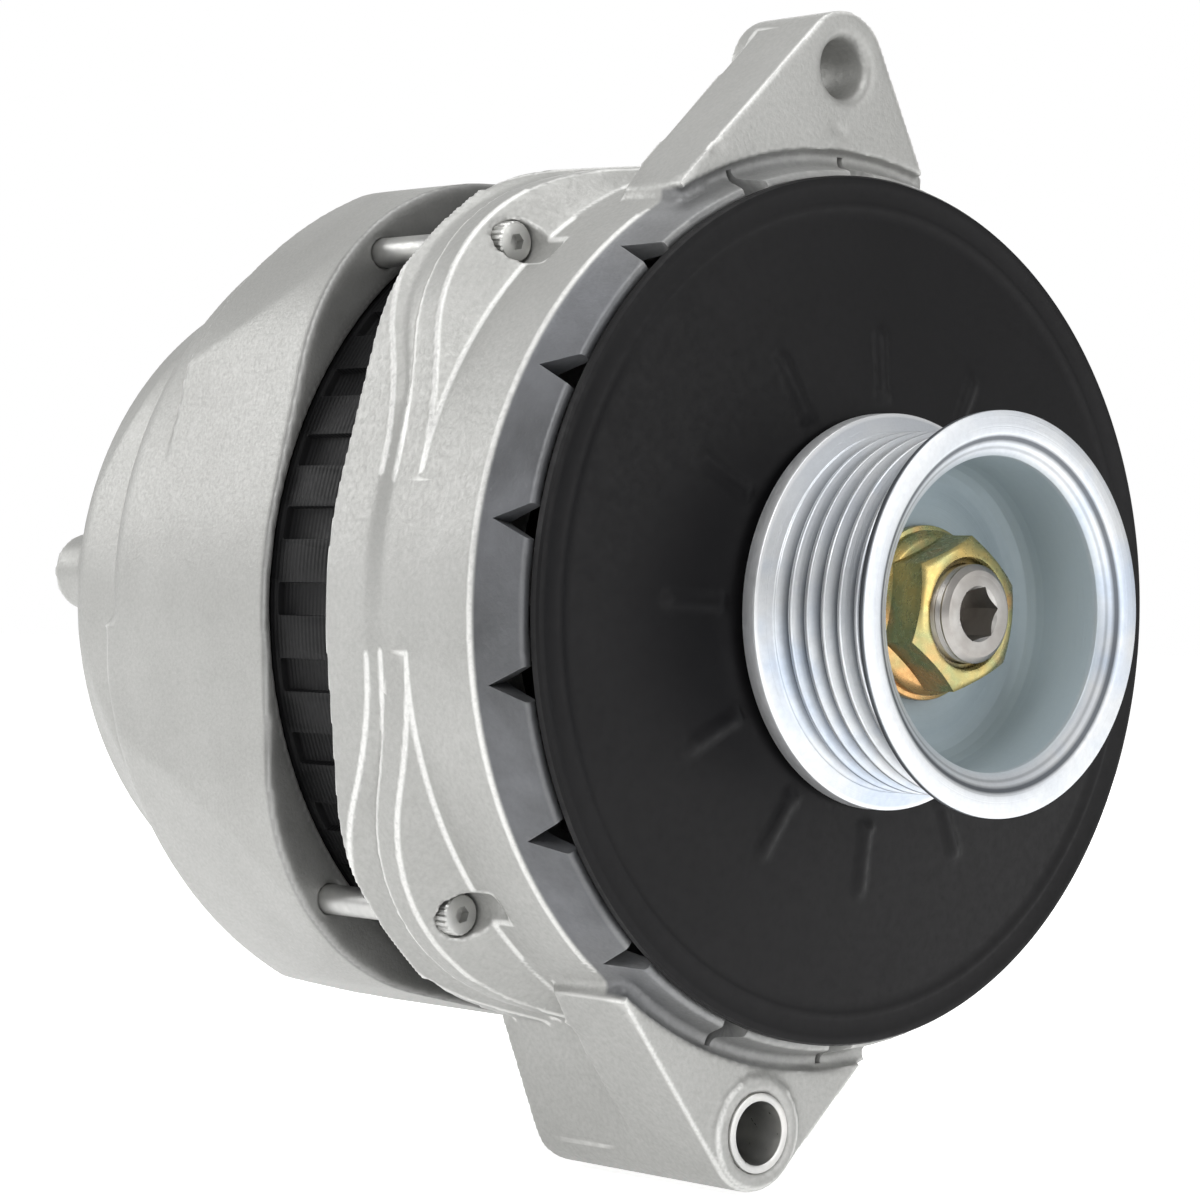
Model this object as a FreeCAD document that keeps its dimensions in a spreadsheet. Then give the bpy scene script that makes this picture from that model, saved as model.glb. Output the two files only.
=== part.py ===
import FreeCAD, Part
import math
import os
import re
import Sketcher

# Belt-driven alternator with an external fan.
# The shaft lies along Y. The origin is on the shaft axis in the plane of the belt's middle,
# the pulley faces -Y, +Z is up, and the front and rear frames are clamped round the stator.

V = FreeCAD.Vector
doc = FreeCAD.newDocument("Alternator")
sheet = doc.addObject("Spreadsheet::Sheet", "Sizes")
os.makedirs("parts", exist_ok=True)

SIZES = [
    # pulley and nut
    ("pulleyRad", 32.4), ("pulleyFront", 11.8), ("rearLand", 4.0), ("pulleyLip", 1.2),
    ("groovePitch", 3.56), ("grooveCount", 6), ("grooveDepth", 2.4), ("ribFlat", 0.7),
    ("flangeStep", 3.0), ("flangeSlope", 1.2),
    ("cupWall", 1.8), ("cupFlare", 3.7), ("cupChamfer", 2.0), ("cupDeep", 18.6),
    ("webThick", 4.2), ("hubRad", 14.0), ("hubLong", 9.2), ("rimWall", 2.4),
    ("washerThick", 1.6), ("washerRad", 14.2), ("nutFlange", 2.0), ("nutFlangeRad", 13.4),
    ("nutHex", 7.2), ("nutFlats", 22.0), ("nutTurn", 22.0), ("shaftProud", 2.2),
    ("socketFlats", 8.0), ("socketDeep", 7.0), ("socketTurn", 12.0), ("shaftChamfer", 0.8),
    # fan
    ("fanInset", 3.5), ("fanThick", 1.6), ("fanDish", 3.8), ("fanFlatRad", 30.0), ("fanRoll", 1.1),
    ("fanRimWide", 4.5), ("bladeCount", 12), ("bladeLong", 21.0), ("bladeClear", 2.9), ("bladeDeep", 10.2),
    ("bladeThick", 1.6), ("bladeTurn", 28.0), ("ribCount", 12), ("ribTurn", -1.5), ("ribInner", 34.6),
    ("ribLong", 12.4), ("ribWide", 2.6), ("ribHigh", 0.6),
    # shaft, bearings and running clearance
    ("shaftRad", 8.5), ("threadRad", 8.0), ("coreRad", 10.0), ("runClear", 0.05),
    ("frontBearRad", 23.5), ("frontBearWide", 14.0), ("ringThick", 3.4), ("ballCount", 8),
    ("rearBearRad", 17.5), ("rearBearWide", 11.0), ("rearSeatRad", 7.5), ("rearRing", 2.4),
    ("collarRad", 13.0), ("cageThick", 0.9),
    # drive-end frame
    ("frameRad", 75.0), ("lipStep", 2.5), ("lipWall", 2.1), ("fanGap", 2.0), ("coneLong", 9.4),
    ("recessDeep", 11.4), ("frontWall", 4.0), ("seatStep", 3.4), ("frameLong", 44.2),
    ("registerDeep", 5.0), ("registerClear", 0.05), ("housingWall", 5.5), ("housingProud", 2.2),
    ("bearingLip", 5.5), ("bearingInset", 1.8),
    ("lugLong", 19.2), ("lugSlope", 7.8), ("lugRound", 42.0), ("landLong", 6.2), ("landSlope", 6.5),
    ("lugGroove", 0.8), ("rimLong", 10.4), ("rimStep", 0.9),
    ("boltOut", 2.0), ("lugWall", 5.0), ("boltTurn", 40.5), ("boltRad", 2.5), ("boltClear", 0.3),
    ("boltHead", 3.0), ("boltHeadRad", 3.4), ("headClear", 0.4), ("headSunk", 6.7), ("boltDeep", 27.0),
    ("boltGap", 1.0), ("driveFlats", 2.5), ("driveDeep", 1.6), ("headDome", 0.7),
    ("notchCount", 18), ("notchTurn", 9.8), ("notchWide", 4.0), ("notchLong", 5.6),
    ("ventCount", 10), ("ventGap", 4.0), ("ventEdge", 6.6), ("ventInnerWide", 6.6), ("ventOuterWide", 21.0),
    # ears
    ("earInset", 4.0), ("earRoot", 13.0), ("earSwell", 2.4), ("topEarOut", 15.0), ("topHeadRad", 9.6),
    ("topEarThick", 14.5), ("topHeadThick", 18.0), ("topHoleRad", 5.0), ("mouthChamfer", 1.2),
    ("topWebFrom", 74.2), ("topWebTo", 118.8), ("lowEarOut", 10.4), ("lowEarLeft", 15.9), ("lowHeadRad", 9.8),
    ("lowEarThick", 18.5), ("lowEarLong", 44.0), ("lowWebFrom", 278.4), ("lowWebTo", 233.8),
    ("lowBackFrom", 272.0), ("lowBackTo", 243.8), ("sleeveBore", 5.2), ("sleeveRad", 6.6),
    ("earGap", 1.2), ("bossRaise", 1.0), ("bossEdge", 0.6), ("pinMarkRad", 2.0), ("pinMarkDeep", 0.35),
    # stator
    ("registerWall", 3.0), ("stackDeep", 19.8), ("statorLong", 28.2), ("ridgeCount", 36), ("ridgeDeep", 1.6),
    ("ridgeWide", 5.4), ("toothTip", 2.3), ("yoke", 6.0), ("windLong", 11.0), ("windClear", 0.4),
    ("airGap", 0.6),
    # slip-ring-end frame
    ("shoulderStep", 1.0), ("shoulderLong", 47.8), ("shoulderRound", 7.0), ("bellStep", 12.2),
    ("bellLong", 28.0), ("bellRound", 6.0), ("bellBulge", 3.2), ("bulgeRound", 46.0), ("bulgeTaper", 9.0),
    ("wall", 4.4), ("rearBossRad", 23.0), ("rearBossHigh", 3.0), ("rearLugLong", 46.0),
    ("upperLugLong", 33.0), ("rearLugTaper", 3.0), ("rearLugDraft", 5.5),
    ("bumpRad", 7.0), ("bumpInset", 9.3),
    ("bumpUp", 4.0), ("bumpHigh", 7.0), ("rearBearLip", 2.0),
    ("rearVents", 12), ("rearVentTurn", 10.6), ("rearVentGap", 4.0), ("rearVentLong", 9.0),
    ("rearVentWide", 8.0),
    # rotor
    ("poleDisc", 8.0), ("poleGap", 17.2), ("poleFingers", 7), ("coilRad", 38.0), ("bobbinWall", 1.6),
    ("slipBack", 29.0), ("slipWide", 7.0), ("slipGap", 3.0), ("slipRad", 12.0), ("sleeveWall", 1.8),
    # brush gear
    ("brushWide", 5.0), ("brushDeep", 7.0), ("brushLong", 14.0), ("brushClear", 0.25), ("holderWall", 2.0),
    ("holderTop", 46.0), ("holderLift", 3.0), ("holderTail", 18.0), ("brushGap", 0.12), ("springWire", 0.36),
    ("springTurns", 5),
    # rectifier, regulator and terminals
    ("plateBack", 19.0), ("plateThick", 3.2), ("plateGap", 8.1), ("plateClear", 1.9), ("diodeRad", 5.6),
    ("diodeHigh", 5.0), ("spacerRad", 3.4), ("studRad", 3.0), ("studShank", 3.5), ("studLong", 22.0),
    ("studInset", 11.5), ("studAngle", -35.0), ("studWall", 2.1), ("studHeadRad", 6.0), ("studHeadHigh", 3.0),
    ("studNutHigh", 5.0), ("studNutFlats", 10.0), ("collarWide", 2.4), ("collarHigh", 4.0),
    ("plugInset", 15.8), ("plugTurn", 132.4), ("plugWide", 14.0), ("plugHigh", 9.0), ("plugWall", 1.4),
    ("plugClear", 0.4), ("plugProud", 6.0), ("pinRad", 0.8), ("pinLong", 2.7), ("regulatorDeep", 13.0),
    ("regulatorSide", 3.5), ("regulatorDown", 8.0), ("regulatorUp", 2.0),
    # small screws of the bearing retainer
    ("retainerThick", 2.0), ("retainerLap", 4.4), ("screwRad", 1.5), ("screwHeadRad", 2.5),
    ("screwHeadHigh", 1.8),
]

# places that follow from the sizes above
FOLLOWS = {
    "ribRad": "pulleyRad - flangeStep",
    "grooveRad": "ribRad - grooveDepth",
    "cupRad": "grooveRad - cupWall",
    "cupMouthRad": "cupRad + cupFlare",
    "rimInner": "grooveRad - rimWall",
    "cupFloor": "cupDeep - pulleyFront",
    "hubEnd": "cupFloor + hubLong",
    "fanRim": "hubEnd + fanDish",
    "fanRad": "frameRad - fanInset",
    "fanConeRad": "fanRad - fanRimWide",
    "lipRad": "frameRad - lipStep",
    "shroudBore": "lipRad - lipWall",
    "bladeOut": "shroudBore - bladeClear",
    "ribOuter": "ribInner + ribLong",
    "lipAt": "fanRim + fanGap",
    "coneEnd": "lipAt + coneLong",
    "recessFloor": "lipAt + recessDeep",
    "frontEnd": "lipAt + frameLong",
    "frontBearAt": "recessFloor + bearingInset",
    "housingRad": "frontBearRad + housingWall",
    "lipHole": "frontBearRad - bearingLip",
    "boltCircle": "frameRad + boltOut",
    "lugReach": "boltCircle + lugWall",
    "lugFront": "frontEnd - lugLong",
    "landEnd": "lugFront + landLong",
    "rimFront": "frontEnd - rimLong",
    "ventInner": "housingRad + ventGap",
    "ventOuter": "frontCavity - ventEdge",
    "earFace": "lipAt + earInset",
    "topEarUp": "frameRad + topEarOut",
    "lowEarDown": "frameRad + lowEarOut",
    "statorRad": "frameRad - registerWall",
    "frontCavity": "statorRad - seatStep",
    "statorBore": "statorRad - stackDeep",
    "statorFrom": "frontEnd - registerDeep",
    "windInner": "statorBore + toothTip",
    "windOuter": "statorRad - yoke",
    "rearFace": "statorFrom + statorLong - registerDeep",
    "shoulderRad": "frameRad - shoulderStep",
    "shoulderEnd": "rearFace + shoulderLong",
    "bellRad": "shoulderRad - bellStep",
    "bellEnd": "shoulderEnd + bellLong",
    "bulgeEnd": "bellEnd - bellRound",
    "rearBossEnd": "bellEnd + rearBossHigh",
    "rearLugEnd": "rearFace + rearLugLong",
    "bumpOut": "bellRad - bumpInset",
    "bumpEnd": "bellEnd + bumpHigh",
    "rearVentInner": "rearBossRad + rearVentGap",
    "rearVentOuter": "rearVentInner + rearVentLong",
    "rearBearAt": "bellEnd - rearBearWide - rearBearLip",
    "poleFaceAt": "statorFrom + 0.5 * statorLong - poleDisc - 0.5 * poleGap",
    "poleRad": "statorBore - airGap",
    "slipAt": "rearBearAt - slipBack",
    "plateAt": "bellEnd - plateBack",
    "plateInner": "rearBearRad + wall + plateGap",
    "plateOuter": "bellRad - wall - plateClear",
    "studOut": "plateOuter - studInset",
    "plugOut": "bellRad - plugInset",
    "plugLeft": "plugOut * cos(plugTurn * 1 deg) - 0.5 * plugWide",
    "plugLow": "plugOut * sin(plugTurn * 1 deg) - 0.5 * plugHigh",
}
for row, (alias, value) in enumerate(SIZES, 1):
    sheet.set("A%d" % row, alias)
    sheet.set("B%d" % row, str(value))
    sheet.setAlias("B%d" % row, alias)
doc.recompute()
ALIASES = {alias for alias, _ in SIZES}


def cells(text):
    """Write out what follows from the sizes and put the sheet's name before each alias."""
    def swap(match):
        word = match.group(0)
        if word in FOLLOWS:
            return "(%s)" % cells(FOLLOWS[word])
        return "Sizes." + word if word in ALIASES else word
    return re.sub(r"[A-Za-z_]\w*", swap, text)


def val(text):
    return float(sheet.evalExpression(cells(str(text))))


def bind(obj, prop, text):
    obj.setExpression(prop, cells(str(text)))


def makeBody(label, at="0"):
    body = doc.addObject("PartDesign::Body", label)
    body.Label = label
    bind(body, "Placement.Base.y", at)
    return body


def originPlane(body, role):
    return [f for f in body.Origin.OriginFeatures if f.Role == role][0]


def attach(sketch, body, role, at="0", turn="0"):
    """Lay a sketch on an origin plane; XZ sketches are moved along +Y and turned about Y."""
    sketch.AttachmentSupport = [(originPlane(body, role), "")]
    sketch.MapMode = "FlatFace"
    if role == "XZ_Plane":
        bind(sketch, "AttachmentOffset.Base.z", "-(%s)" % at)
        if turn != "0":
            spin = FreeCAD.Rotation(V(0, 0, 1), val(turn))
            sketch.AttachmentOffset = FreeCAD.Placement(V(0, 0, -val(at)), spin)
            bind(sketch, "AttachmentOffset.Rotation.Angle", "(%s) * 1 deg" % turn)


def bindLoop(sketch, points):
    """Closed loop of straight lines whose corners are all bound to the sheet."""
    spots = [V(val(x), val(y), 0) for x, y in points]
    count = len(spots)
    for i in range(count):
        sketch.addGeometry(Part.LineSegment(spots[i], spots[(i + 1) % count]), False)
    for i in range(count):
        sketch.addConstraint(Sketcher.Constraint("Coincident", i, 2, (i + 1) % count, 1))
    for i, (x, y) in enumerate(points):
        for kind, text, value, axis in (("DistanceX", x, spots[i].x, -2), ("DistanceY", y, spots[i].y, -1)):
            if str(text) == "0":
                sketch.addConstraint(Sketcher.Constraint("PointOnObject", i, 1, axis))
                continue
            n = sketch.addConstraint(Sketcher.Constraint(kind, -1, 1, i, 1, value))
            bind(sketch, "Constraints[%d]" % n, text)


def loopSketch(body, name, points, role="XY_Plane", at="0", turn="0"):
    sketch = body.newObject("Sketcher::SketchObject", name)
    attach(sketch, body, role, at, turn)
    bindLoop(sketch, points)
    return sketch


def hexagon(flats, turn):
    """Corners of a hexagon of that width across its flats, as expressions."""
    return [("%s / sqrt(3) * cos((%s + %d) * 1 deg)" % (flats, turn, 60 * i),
             "%s / sqrt(3) * sin((%s + %d) * 1 deg)" % (flats, turn, 60 * i)) for i in range(6)]


def circleSketch(body, name, x, y, rad, at="0", turn="0"):
    sketch = body.newObject("Sketcher::SketchObject", name)
    attach(sketch, body, "XZ_Plane", at, turn)
    sketch.addGeometry(Part.Circle(V(val(x), val(y), 0), V(0, 0, 1), val(rad)), False)
    n = sketch.addConstraint(Sketcher.Constraint("Radius", 0, val(rad)))
    bind(sketch, "Constraints[%d]" % n, rad)
    for kind, text, axis in (("DistanceX", x, -2), ("DistanceY", y, -1)):
        if str(text) == "0":
            sketch.addConstraint(Sketcher.Constraint("PointOnObject", 0, 3, axis))
            continue
        n = sketch.addConstraint(Sketcher.Constraint(kind, -1, 1, 0, 3, val(text)))
        bind(sketch, "Constraints[%d]" % n, text)
    return sketch


def revolve(body, sketch, cut=False):
    kind = "PartDesign::Groove" if cut else "PartDesign::Revolution"
    feat = body.newObject(kind, sketch.Name + ("Cut" if cut else "Turn"))
    feat.Profile = sketch
    feat.ReferenceAxis = (sketch, ["V_Axis"])
    feat.Angle = 360
    return feat


def pad(body, sketch, length):
    """Extrude an XZ sketch along +Y."""
    feat = body.newObject("PartDesign::Pad", sketch.Name + "Pad")
    feat.Profile = sketch
    feat.Reversed = True
    bind(feat, "Length", length)
    return feat


def pocket(body, sketch, length):
    """Cut an XZ sketch along +Y."""
    feat = body.newObject("PartDesign::Pocket", sketch.Name + "Pocket")
    feat.Profile = sketch
    feat.Reversed = False
    bind(feat, "Length", length)
    return feat


def polar(body, feat, count):
    """Repeat a feature round the shaft axis."""
    ring = body.newObject("PartDesign::PolarPattern", feat.Name + "Ring")
    ring.Originals = [feat]
    ring.Axis = ([f for f in body.Origin.OriginFeatures if f.Role == "Y_Axis"][0], [""])
    ring.Angle = 360
    bind(ring, "Occurrences", count)
    body.Tip = ring
    return ring


def turned(label, points, at="0"):
    """A piece turned about the shaft axis from one closed half profile."""
    body = makeBody(label, at)
    revolve(body, loopSketch(body, label + "Profile", points))
    return body


def shapeNode(label, shape):
    """A group of equal solids, or a form that no single profile gives."""
    node = doc.addObject("Part::Feature", label)
    node.Label = label
    node.Shape = shape
    return node


def ring(outer, inner, length, at):
    """Plain ring about Y as a shape."""
    body = Part.makeCylinder(outer, length, V(0, at, 0), V(0, 1, 0))
    return body.cut(Part.makeCylinder(inner, length, V(0, at, 0), V(0, 1, 0)))


def spun(shape, degrees):
    copy = shape.copy()
    copy.rotate(V(0, 0, 0), V(0, 1, 0), -degrees)
    return copy


def makePulley():
    front = "-pulleyFront"
    last = "-pulleyFront + pulleyLip"
    rear = "(%s + grooveCount * groovePitch + rearLand)" % last
    pts = [("cupMouthRad", front), ("pulleyRad", front), ("pulleyRad", last)]
    for i in range(int(val("grooveCount"))):
        start = "%s + %d * groovePitch" % (last, i)
        pts.append(("grooveRad", "%s + 0.5 * (groovePitch - ribFlat)" % start))
        pts.append(("grooveRad", "%s + 0.5 * (groovePitch + ribFlat)" % start))
        pts.append(("ribRad", "%s + groovePitch - 0.5 * ribFlat" % start))
        pts.append(("ribRad", "%s + groovePitch + 0.5 * ribFlat" % start))
    pts[-1] = ("ribRad", "%s + grooveCount * groovePitch" % last)
    pts.append(("pulleyRad", "%s + grooveCount * groovePitch + flangeSlope" % last))
    pts += [("pulleyRad", rear), ("rimInner", rear), ("rimInner", "cupFloor + webThick"),
            ("hubRad", "cupFloor + webThick"), ("hubRad", "hubEnd"),
            ("shaftRad", "hubEnd"), ("shaftRad", "cupFloor"), ("cupRad", "cupFloor"),
            ("cupRad", "%s + cupChamfer" % front)]
    turned("pulley", pts)


def makeNut():
    turned("pulley_washer", [("shaftRad", "0"), ("washerRad", "0"), ("washerRad", "washerThick"),
                             ("shaftRad", "washerThick")], "cupFloor - washerThick")
    body = makeBody("pulley_nut", "cupFloor - washerThick - nutFlange - nutHex")
    pad(body, loopSketch(body, "NutHexOutline", hexagon("nutFlats", "nutTurn"), "XZ_Plane"), "nutHex")
    flange = circleSketch(body, "NutFlange", "0", "0", "nutFlangeRad", "nutHex")
    pad(body, flange, "nutFlange")
    revolve(body, loopSketch(body, "NutCrown", [("0.46 * nutFlats", "0"), ("nutFlats", "0"),
                                                ("nutFlats", "0.2 * nutFlats")]), cut=True)
    revolve(body, loopSketch(body, "NutBoreHalf", [("0", "0"), ("threadRad", "0"),
                                                   ("threadRad", "nutHex + nutFlange"),
                                                   ("0", "nutHex + nutFlange")]), cut=True)


def makeShaft():
    front = "cupFloor - washerThick - nutFlange - nutHex - shaftProud"
    y0 = "(%s)" % front
    end = "(rearBearAt + rearBearWide)"
    pts = [("0", "0"), ("threadRad - shaftChamfer", "0"), ("threadRad", "shaftChamfer"),
           ("threadRad", "cupFloor - washerThick - %s" % y0),
           ("shaftRad", "cupFloor - washerThick - %s" % y0),
           ("shaftRad", "frontBearAt + frontBearWide - %s" % y0),
           ("coreRad", "frontBearAt + frontBearWide - %s" % y0),
           ("coreRad", "slipAt - 1.4 * slipGap - %s" % y0), ("shaftRad", "slipAt - 1.4 * slipGap - %s" % y0),
           ("shaftRad", "slipAt + 2 * slipWide + 2 * slipGap - %s" % y0),
           ("rearSeatRad", "slipAt + 2 * slipWide + 2 * slipGap - %s" % y0),
           ("rearSeatRad", "%s - %s" % (end, y0)), ("0", "%s - %s" % (end, y0))]
    body = turned("rotor_shaft", pts, front)
    pocket(body, loopSketch(body, "KeySocket", hexagon("socketFlats", "socketTurn"), "XZ_Plane"),
           "socketDeep")


def makeFan():
    disc = turned("fan_disc", [
        ("shaftRad", "0"), ("fanFlatRad", "0"), ("fanConeRad", "fanRim - hubEnd"),
        ("fanRad - 0.6", "fanRim - hubEnd"), ("fanRad", "fanRim - hubEnd + 0.5"),
        ("fanRad", "fanRim - hubEnd + fanRoll"), ("fanRad - fanThick", "fanRim - hubEnd + fanRoll"),
        ("fanRad - fanThick - 0.4", "fanRim - hubEnd + fanRoll - 0.3"),
        ("fanConeRad", "fanRim - hubEnd + fanRoll - 0.3"), ("fanFlatRad", "fanThick"),
        ("shaftRad", "fanThick")], "hubEnd")
    slope = "fanDish / (fanConeRad - fanFlatRad)"
    rise = "(%s - fanFlatRad) * %s"
    front = [rise % ("ribInner", slope), rise % ("ribOuter", slope)]
    rib = disc.newObject("Sketcher::SketchObject", "PressedRib")
    rib.AttachmentSupport = [(originPlane(disc, "XY_Plane"), "")]
    rib.MapMode = "FlatFace"
    rib.AttachmentOffset = FreeCAD.Placement(V(0, 0, 0), FreeCAD.Rotation(V(0, 1, 0), -val("ribTurn")))
    bindLoop(rib, [("ribInner", front[0] + " + ribHigh"), ("ribInner + ribHigh", front[0] + " - ribHigh"),
                   ("ribOuter - ribHigh", front[1] + " - ribHigh"), ("ribOuter", front[1] + " + ribHigh")])
    feat = disc.newObject("PartDesign::Pad", "PressedRibPad")
    feat.Profile = rib
    feat.Midplane = True
    bind(feat, "Length", "ribWide")
    polar(disc, feat, "ribCount")
    slant = (val("fanRim") - val("hubEnd")) / (val("fanConeRad") - val("fanFlatRad"))
    outer = val("bladeOut")
    back = val("fanRim") + val("fanRoll") - 0.3
    blades = []
    for i in range(int(val("bladeCount"))):
        inner = outer - val("bladeLong")
        front = back - (val("fanConeRad") - inner) * slant * 0.72
        pts = [V(inner, front + 0.4, 0), V(outer - 1, back, 0), V(outer, back + val("bladeDeep") * 0.55, 0),
               V(outer - 3, back + val("bladeDeep"), 0), V(inner + 3, back + val("bladeDeep") * 0.9, 0)]
        face = Part.Face(Part.makePolygon(pts + [pts[0]]))
        blade = face.extrude(V(0, 0, val("bladeThick")))
        blade.rotate(V(outer, 0, 0), V(0, 1, 0), val("bladeTurn"))
        blades.append(spun(blade, 360.0 / int(val("bladeCount")) * i))
    shapeNode("fan_blades", Part.makeCompound(blades))
    turned("fan_collar", [("shaftRad", "0"), ("collarRad", "0"),
                          ("collarRad", "frontBearAt - hubEnd - fanThick"),
                          ("shaftRad", "frontBearAt - hubEnd - fanThick")], "hubEnd + fanThick")


def makeBearing(tag, inner, outer, wide, at, thick):
    """Ball bearing: two grooved rings, a cage and its balls, all clear of each other."""
    ri, ro, w, y0, t = val(inner), val(outer), val(wide), val(at), val(thick)
    pitch = 0.5 * (ri + ro)
    ball = min(0.5 * w, ro - ri) * 0.5 * 0.9
    ball = min(ball, 0.5 * (ro - ri) - t * 0.35)
    track = Part.makeTorus(pitch, ball + val("runClear"), V(0, y0 + 0.5 * w, 0), V(0, 1, 0))
    shapeNode(tag + "_inner_ring", ring(ri + t, ri, w, y0).cut(track))
    shapeNode(tag + "_outer_ring", ring(ro, ro - t, w, y0).cut(track))
    count = int(val("ballCount"))
    balls = [spun(Part.makeSphere(ball, V(pitch, y0 + 0.5 * w, 0)), 360.0 / count * i) for i in range(count)]
    shapeNode(tag + "_balls", Part.makeCompound(balls))
    cageAt = y0 + 0.5 * w + ball + 0.15
    shapeNode(tag + "_cage", ring(pitch + 0.22 * ball, pitch - 0.22 * ball, val("cageThick"), cageAt))


def tangentLug(body, name, reach, roundRad, baseRad, at, length, turn="boltTurn", count="4"):
    """Pad a lug: an arc out at the bolt with two straight flanks tangent to the frame's circle."""
    far, r, base = val(reach), val(roundRad), val(baseRad)
    centre = far - r
    tilt = math.acos((base - r) / centre)
    ends = []
    for side in (1, -1):
        u = V(math.cos(side * tilt), math.sin(side * tilt), 0)
        ends.append((u * base, V(centre, 0, 0) + u * r))
    sketch = body.newObject("Sketcher::SketchObject", name)
    attach(sketch, body, "XZ_Plane", at, turn)
    (bigUp, smallUp), (bigDown, smallDown) = ends
    sketch.addGeometry(Part.LineSegment(V(0, 0, 0), bigDown), False)
    sketch.addGeometry(Part.LineSegment(bigDown, smallDown), False)
    arc = Part.Arc(smallDown, V(far, 0, 0), smallUp)
    sketch.addGeometry(arc, False)
    sketch.addGeometry(Part.LineSegment(smallUp, bigUp), False)
    sketch.addGeometry(Part.LineSegment(bigUp, V(0, 0, 0)), False)
    sketch.addConstraint(Sketcher.Constraint("Coincident", 0, 1, -1, 1))
    for a, pa, b, pb in ((0, 2, 1, 1), (1, 2, 2, 1), (2, 2, 3, 1), (3, 2, 4, 1), (4, 2, 0, 1)):
        sketch.addConstraint(Sketcher.Constraint("Coincident", a, pa, b, pb))
    n = sketch.addConstraint(Sketcher.Constraint("Radius", 2, r))
    bind(sketch, "Constraints[%d]" % n, roundRad)
    n = sketch.addConstraint(Sketcher.Constraint("DistanceX", -1, 1, 2, 3, centre))
    bind(sketch, "Constraints[%d]" % n, "%s - %s" % (reach, roundRad))
    feat = pad(body, sketch, length)
    return polar(body, feat, count) if count else feat


def flank(corner, centre, rad, side):
    """Where a straight flank from a corner touches a round head; side is +1 or -1."""
    dx, dz = corner[0] - centre[0], corner[1] - centre[1]
    away = math.hypot(dx, dz)
    swing = math.atan2(dz, dx) + side * math.acos(rad / away)
    return centre[0] + rad * math.cos(swing), centre[1] + rad * math.sin(swing)


def earPad(body, name, cx, cz, rad, left, right, inner, at, length):
    """Pad an ear: two flanks from the frame that run tangent into the round head."""
    centre = (val(cx), val(cz))
    r = val(rad)
    up = 1 if centre[1] > 0 else -1
    a = flank(left, centre, r, -up)
    b = flank(right, centre, r, up)
    away = math.hypot(*centre)
    tip = (centre[0] + r * centre[0] / away, centre[1] + r * centre[1] / away)
    sketch = body.newObject("Sketcher::SketchObject", name)
    attach(sketch, body, "XZ_Plane", at)
    loop = [left, a, b, right, inner[1], inner[0]]
    pts = [V(x, z, 0) for x, z in loop]
    sketch.addGeometry(Part.LineSegment(pts[0], pts[1]), False)
    sketch.addGeometry(Part.Arc(pts[1], V(tip[0], tip[1], 0), pts[2]), False)
    for i in (2, 3, 4, 5):
        sketch.addGeometry(Part.LineSegment(pts[i], pts[(i + 1) % 6]), False)
    n = sketch.addConstraint(Sketcher.Constraint("Radius", 1, r))
    bind(sketch, "Constraints[%d]" % n, rad)
    if cx != "0":
        n = sketch.addConstraint(Sketcher.Constraint("DistanceX", -1, 1, 1, 3, centre[0]))
        bind(sketch, "Constraints[%d]" % n, cx)
    n = sketch.addConstraint(Sketcher.Constraint("DistanceY", -1, 1, 1, 3, centre[1]))
    bind(sketch, "Constraints[%d]" % n, cz)
    return pad(body, sketch, length)


def onRing(rad, degrees):
    return rad * math.cos(math.radians(degrees)), rad * math.sin(math.radians(degrees))


def joined(body, tool, name):
    """Fuse another body into this one."""
    feat = body.newObject("PartDesign::Boolean", name)
    feat.setObjects([tool])
    body.Tip = feat
    return feat


def makeBoltLugs():
    """The lugs' outer land, between its sloped front face and the groove, and the rear rim round the lugs."""
    land = makeBody("BoltLugLand")
    tangentLug(land, "LandLug", "lugReach", "lugRound", "frameRad", "lugFront", "frontEnd - lugFront")
    revolve(land, loopSketch(land, "LandRear", [
        ("0", "landEnd"), ("frameRad", "landEnd"), 
        ("lugReach + lugWall", "landEnd + landSlope * (1 + lugWall / (lugReach - frameRad))"),
        ("lugReach + lugWall", "frontEnd + 1"), ("0", "frontEnd + 1")]), cut=True)
    revolve(land, lugFace(land, "LandFront"), cut=True)
    rim = makeBody("BoltLugRim")
    tangentLug(rim, "RimLug", "lugReach + rimStep", "lugRound", "frameRad + rimStep", "rimFront", "rimLong")
    revolve(rim, loopSketch(rim, "RimLugFace", [
        ("frameRad + rimStep", "rimFront - 1"), ("lugReach + lugWall", "rimFront - 1"),
        ("lugReach + lugWall", "rimFront + rimLong * (1 + lugWall / (lugReach - frameRad))"),
        ("frameRad + rimStep", "rimFront")]), cut=True)
    return land, rim


def lugFace(body, name):
    """Half profile outside the lugs' sloped front face."""
    return loopSketch(body, name, [
        ("frameRad", "lugFront - 1"), ("lugReach + lugWall", "lugFront - 1"),
        ("lugReach + lugWall", "lugFront + lugSlope * (1 + lugWall / (lugReach - frameRad))"),
        ("frameRad", "lugFront")])


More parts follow.
